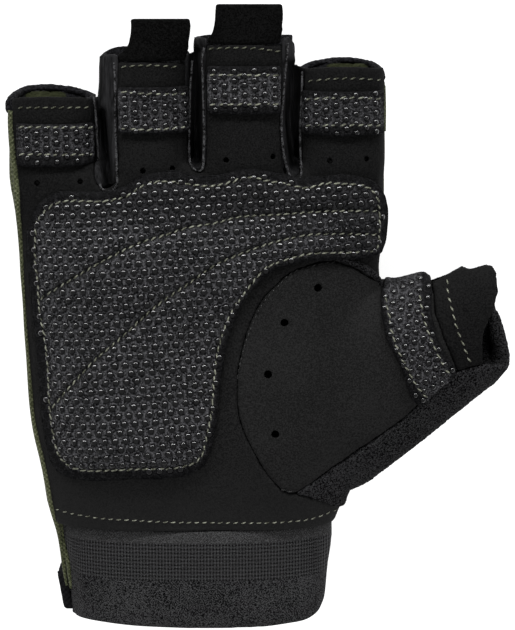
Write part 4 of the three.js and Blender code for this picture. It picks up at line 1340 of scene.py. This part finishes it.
thumb_band = soft_piece("thumb_grip", "band_thumb", THUMB_CLOTH, "grip", voxel=FINE_VOXEL, rounds=3)
for finger, band in bands.items():
    darken_band(band, BAND_STITCHES[finger], FINGER_LEVEL, 1, BAND_PAINTED_SHADES[finger])
darken_band(thumb_band, THUMB_BAND_STITCHES, BAND_LEVEL, 0)
cuff = soft_piece("cuff_band", "elastic_cuff", ELASTIC, "elastic", shape=shape_cuff)
wrap_uv(cuff)
soft_piece("wrist_strap", "back_strap", STRAP, "strap", shape=shape_strap)

# Turned edges and side seams
skin_tree = tree_of([palm, thumb_front, cuff, back])
palm_tree = tree_of([palm])
rolls = []
draw = random.Random(ROLL_SEED)
for gap, line in ROLL_LINES.items():
    spine = laid(palm_tree, line, FINGER_LEVEL, 0.5 * MM, offset=-1.0 * MM, drop=0.15 * MM)
    rolls.append(cord(f"roll_{gap}", spine, [0.3 * MM * draw.uniform(0.8, 1.2) for _ in spine]))
dress(join(rolls), ROLL, "palm_leather").name = "turned_edges"

spine = laid(skin_tree, SIDE_ROLL, SIDE_LEVEL, 1.0 * MM, offset=0.35 * MM)
radii = along_spine(spine, SIDE_ROLL_RADII)
side_rolls = [cord(f"side_seam_roll_{i}", spine - np.array([0, 0, i * SIDE_ROLL_STEP]), radii, sides=12)
              for i in range(SIDE_ROLLS)]
spine = laid(skin_tree, INDEX_SIDE, SIDE_LEVEL, 1.0 * MM)
index_roll = cord("index_seam_roll", spine, [0.35 * MM] * len(spine))
dress(join([*side_rolls, index_roll]), FABRIC, "back_fabric").name = "side_seam_rolls"

edges = []
for finger in ("little", "index"):
    radius, line = RIM_ROLLS[finger]
    spine = laid(tree_of([rims[finger]]), line, RIM_LEVEL, 0.5 * MM, drop=0.5 * radius)
    edges.append(cord(f"edge_{finger}", spine, [radius * draw.uniform(0.92, 1.08) for _ in spine], sides=12))
rim_edges = join(edges)
rim_edges.name = "rolled_rim_edges"
lumps(rim_edges, 0.7 * MM, 0.3 * MM)
dress(rim_edges, BINDING, "binding")

spine = on_rays(rounded(TERRY_RIM, False, 0.6 * MM), TERRY_RIM_LEVEL, TERRY_RIM_HEIGHT)
terry_rim = cord("thumb_terry_rim", spine, along_spine(spine, TERRY_RIM_RADII), sides=16)
lumps(terry_rim, 0.7 * MM, 0.5 * MM)
dress(terry_rim, TERRY, "terry")

spine = laid(tree_of([thumb_front, palm, thumb_band]), THUMB_FOLD, FOLD_LEVEL, 0.4 * MM, drop=0.2 * MM)
share = np.linspace(-1, 1, len(spine))
fold = cord("thumb_fold", spine, (0.35 + 0.6 * (1 - share ** 4)) * MM, sides=12)
lumps(fold, 0.8 * MM, 0.4 * MM)
dress(fold, TERRY, "terry")

# Dots and stitches
dots_on(pad, "palm_dots", PALM_GRID, PALM_DOT, keep_off=(HIGH_LINE, LOW_LINE), border=PAD_LINE)
for finger, band in bands.items():
    dots_on(band, f"dots_{finger}", FINGER_GRID, BAND_DOT)
dots_on(thumb_band, "dots_thumb", THUMB_GRID, THUMB_DOT)

stitches("palm_stitches", [pad], [PAD_STITCHES], PAD_LEVEL, "grip", size=1.1, pitch=CLOSE_PITCH, closed=True)
stitches("channel_stitches", [pad], [CHANNEL_HIGH, CHANNEL_LOW], PAD_LEVEL, "grip", pitch=CLOSE_PITCH)
for finger in bands:
    stitches(f"hem_stitches_{finger}", [palm, *tabs], [HEM_STITCHES[finger]], FINGER_LEVEL, "palm_leather",
             material=DULL_THREAD, size=0.9)
    stitches(f"band_stitches_{finger}", [bands[finger]], BAND_STITCHES[finger], FINGER_LEVEL, "grip")
stitches("cuff_stitches", [palm], [CUFF_STITCHES], CUFF_LEVEL, "palm_leather", size=0.8, pitch=CLOSE_PITCH)
stitches("thumb_band_stitches", [thumb_band], THUMB_BAND_STITCHES, BAND_LEVEL, "grip")
stitches("thumb_end_stitches", [thumb_end], [THUMB_END_STITCHES], END_LEVEL, "palm_leather", pitch=2.5 * MM)
stitches("thumb_seam_stitches", [thumb_front], [THUMB_SEAM], THUMB_LEVEL, "palm_leather",
         material=BLACK_THREAD, size=0.8, pitch=1.6 * MM)

# Floor, light and camera

# Softboxes: place, width, height, power, and whether shiny things show it
SOFTBOXES = [((-0.05, 0.85, 0.36), 2.2, 0.09, 25.0, True), ((0.1, -0.9, 1.2), 2.6, 1.6, 34.0, False)]
WHITE = (1, 1, 1, 1)
FLOOR_GREY = (0.35, 0.35, 0.35, 1)
FLOOR_GLOW = 0.85
SKY_LIGHT = 0.22


def stage():
    bpy.ops.mesh.primitive_plane_add(size=4, location=(0, 0, 0))
    floor = bpy.context.view_layer.objects.active
    floor.name = "floor"
    material = bpy.data.materials.new("pale_floor")
    material.use_nodes = True
    fill(material.node_tree.nodes["Principled BSDF"],
         {"Base Color": FLOOR_GREY, "Roughness": 1, "Specular IOR Level": 0, "Emission Color": WHITE,
          "Emission Strength": FLOOR_GLOW})
    floor.data.materials.append(material)
    world = bpy.data.worlds.new("studio")
    bpy.context.scene.world = world
    world.use_nodes = True
    fill(world.node_tree.nodes["Background"], {"Color": WHITE, "Strength": SKY_LIGHT})
    for place, wide, high, power, glints in SOFTBOXES:
        light = bpy.data.lights.new("softbox", "AREA")
        light.shape = "RECTANGLE"
        light.size = wide
        light.size_y = high
        light.energy = power
        lamp = linked("softbox", light)
        lamp.location = place
        lamp.visible_glossy = glints
        lamp.rotation_mode = "QUATERNION"
        lamp.rotation_quaternion = (Vector(place) * -1).to_track_quat("-Z", "Y")


def camera():
    data = bpy.data.cameras.new("camera")
    seen = max(PHOTO_WIDTH, PHOTO_HEIGHT) / PIXELS_PER_MM * MM
    data.sensor_width = SENSOR
    data.lens = SENSOR * CAMERA_FAR / seen
    data.clip_start = 0.01
    eye = linked("camera", data)
    eye.location = EYE
    eye.rotation_euler = (-CAMERA_TILT, 0, 0)
    bpy.context.scene.camera = eye


stage()
camera()
bpy.context.scene.view_settings.view_transform = "Standard"
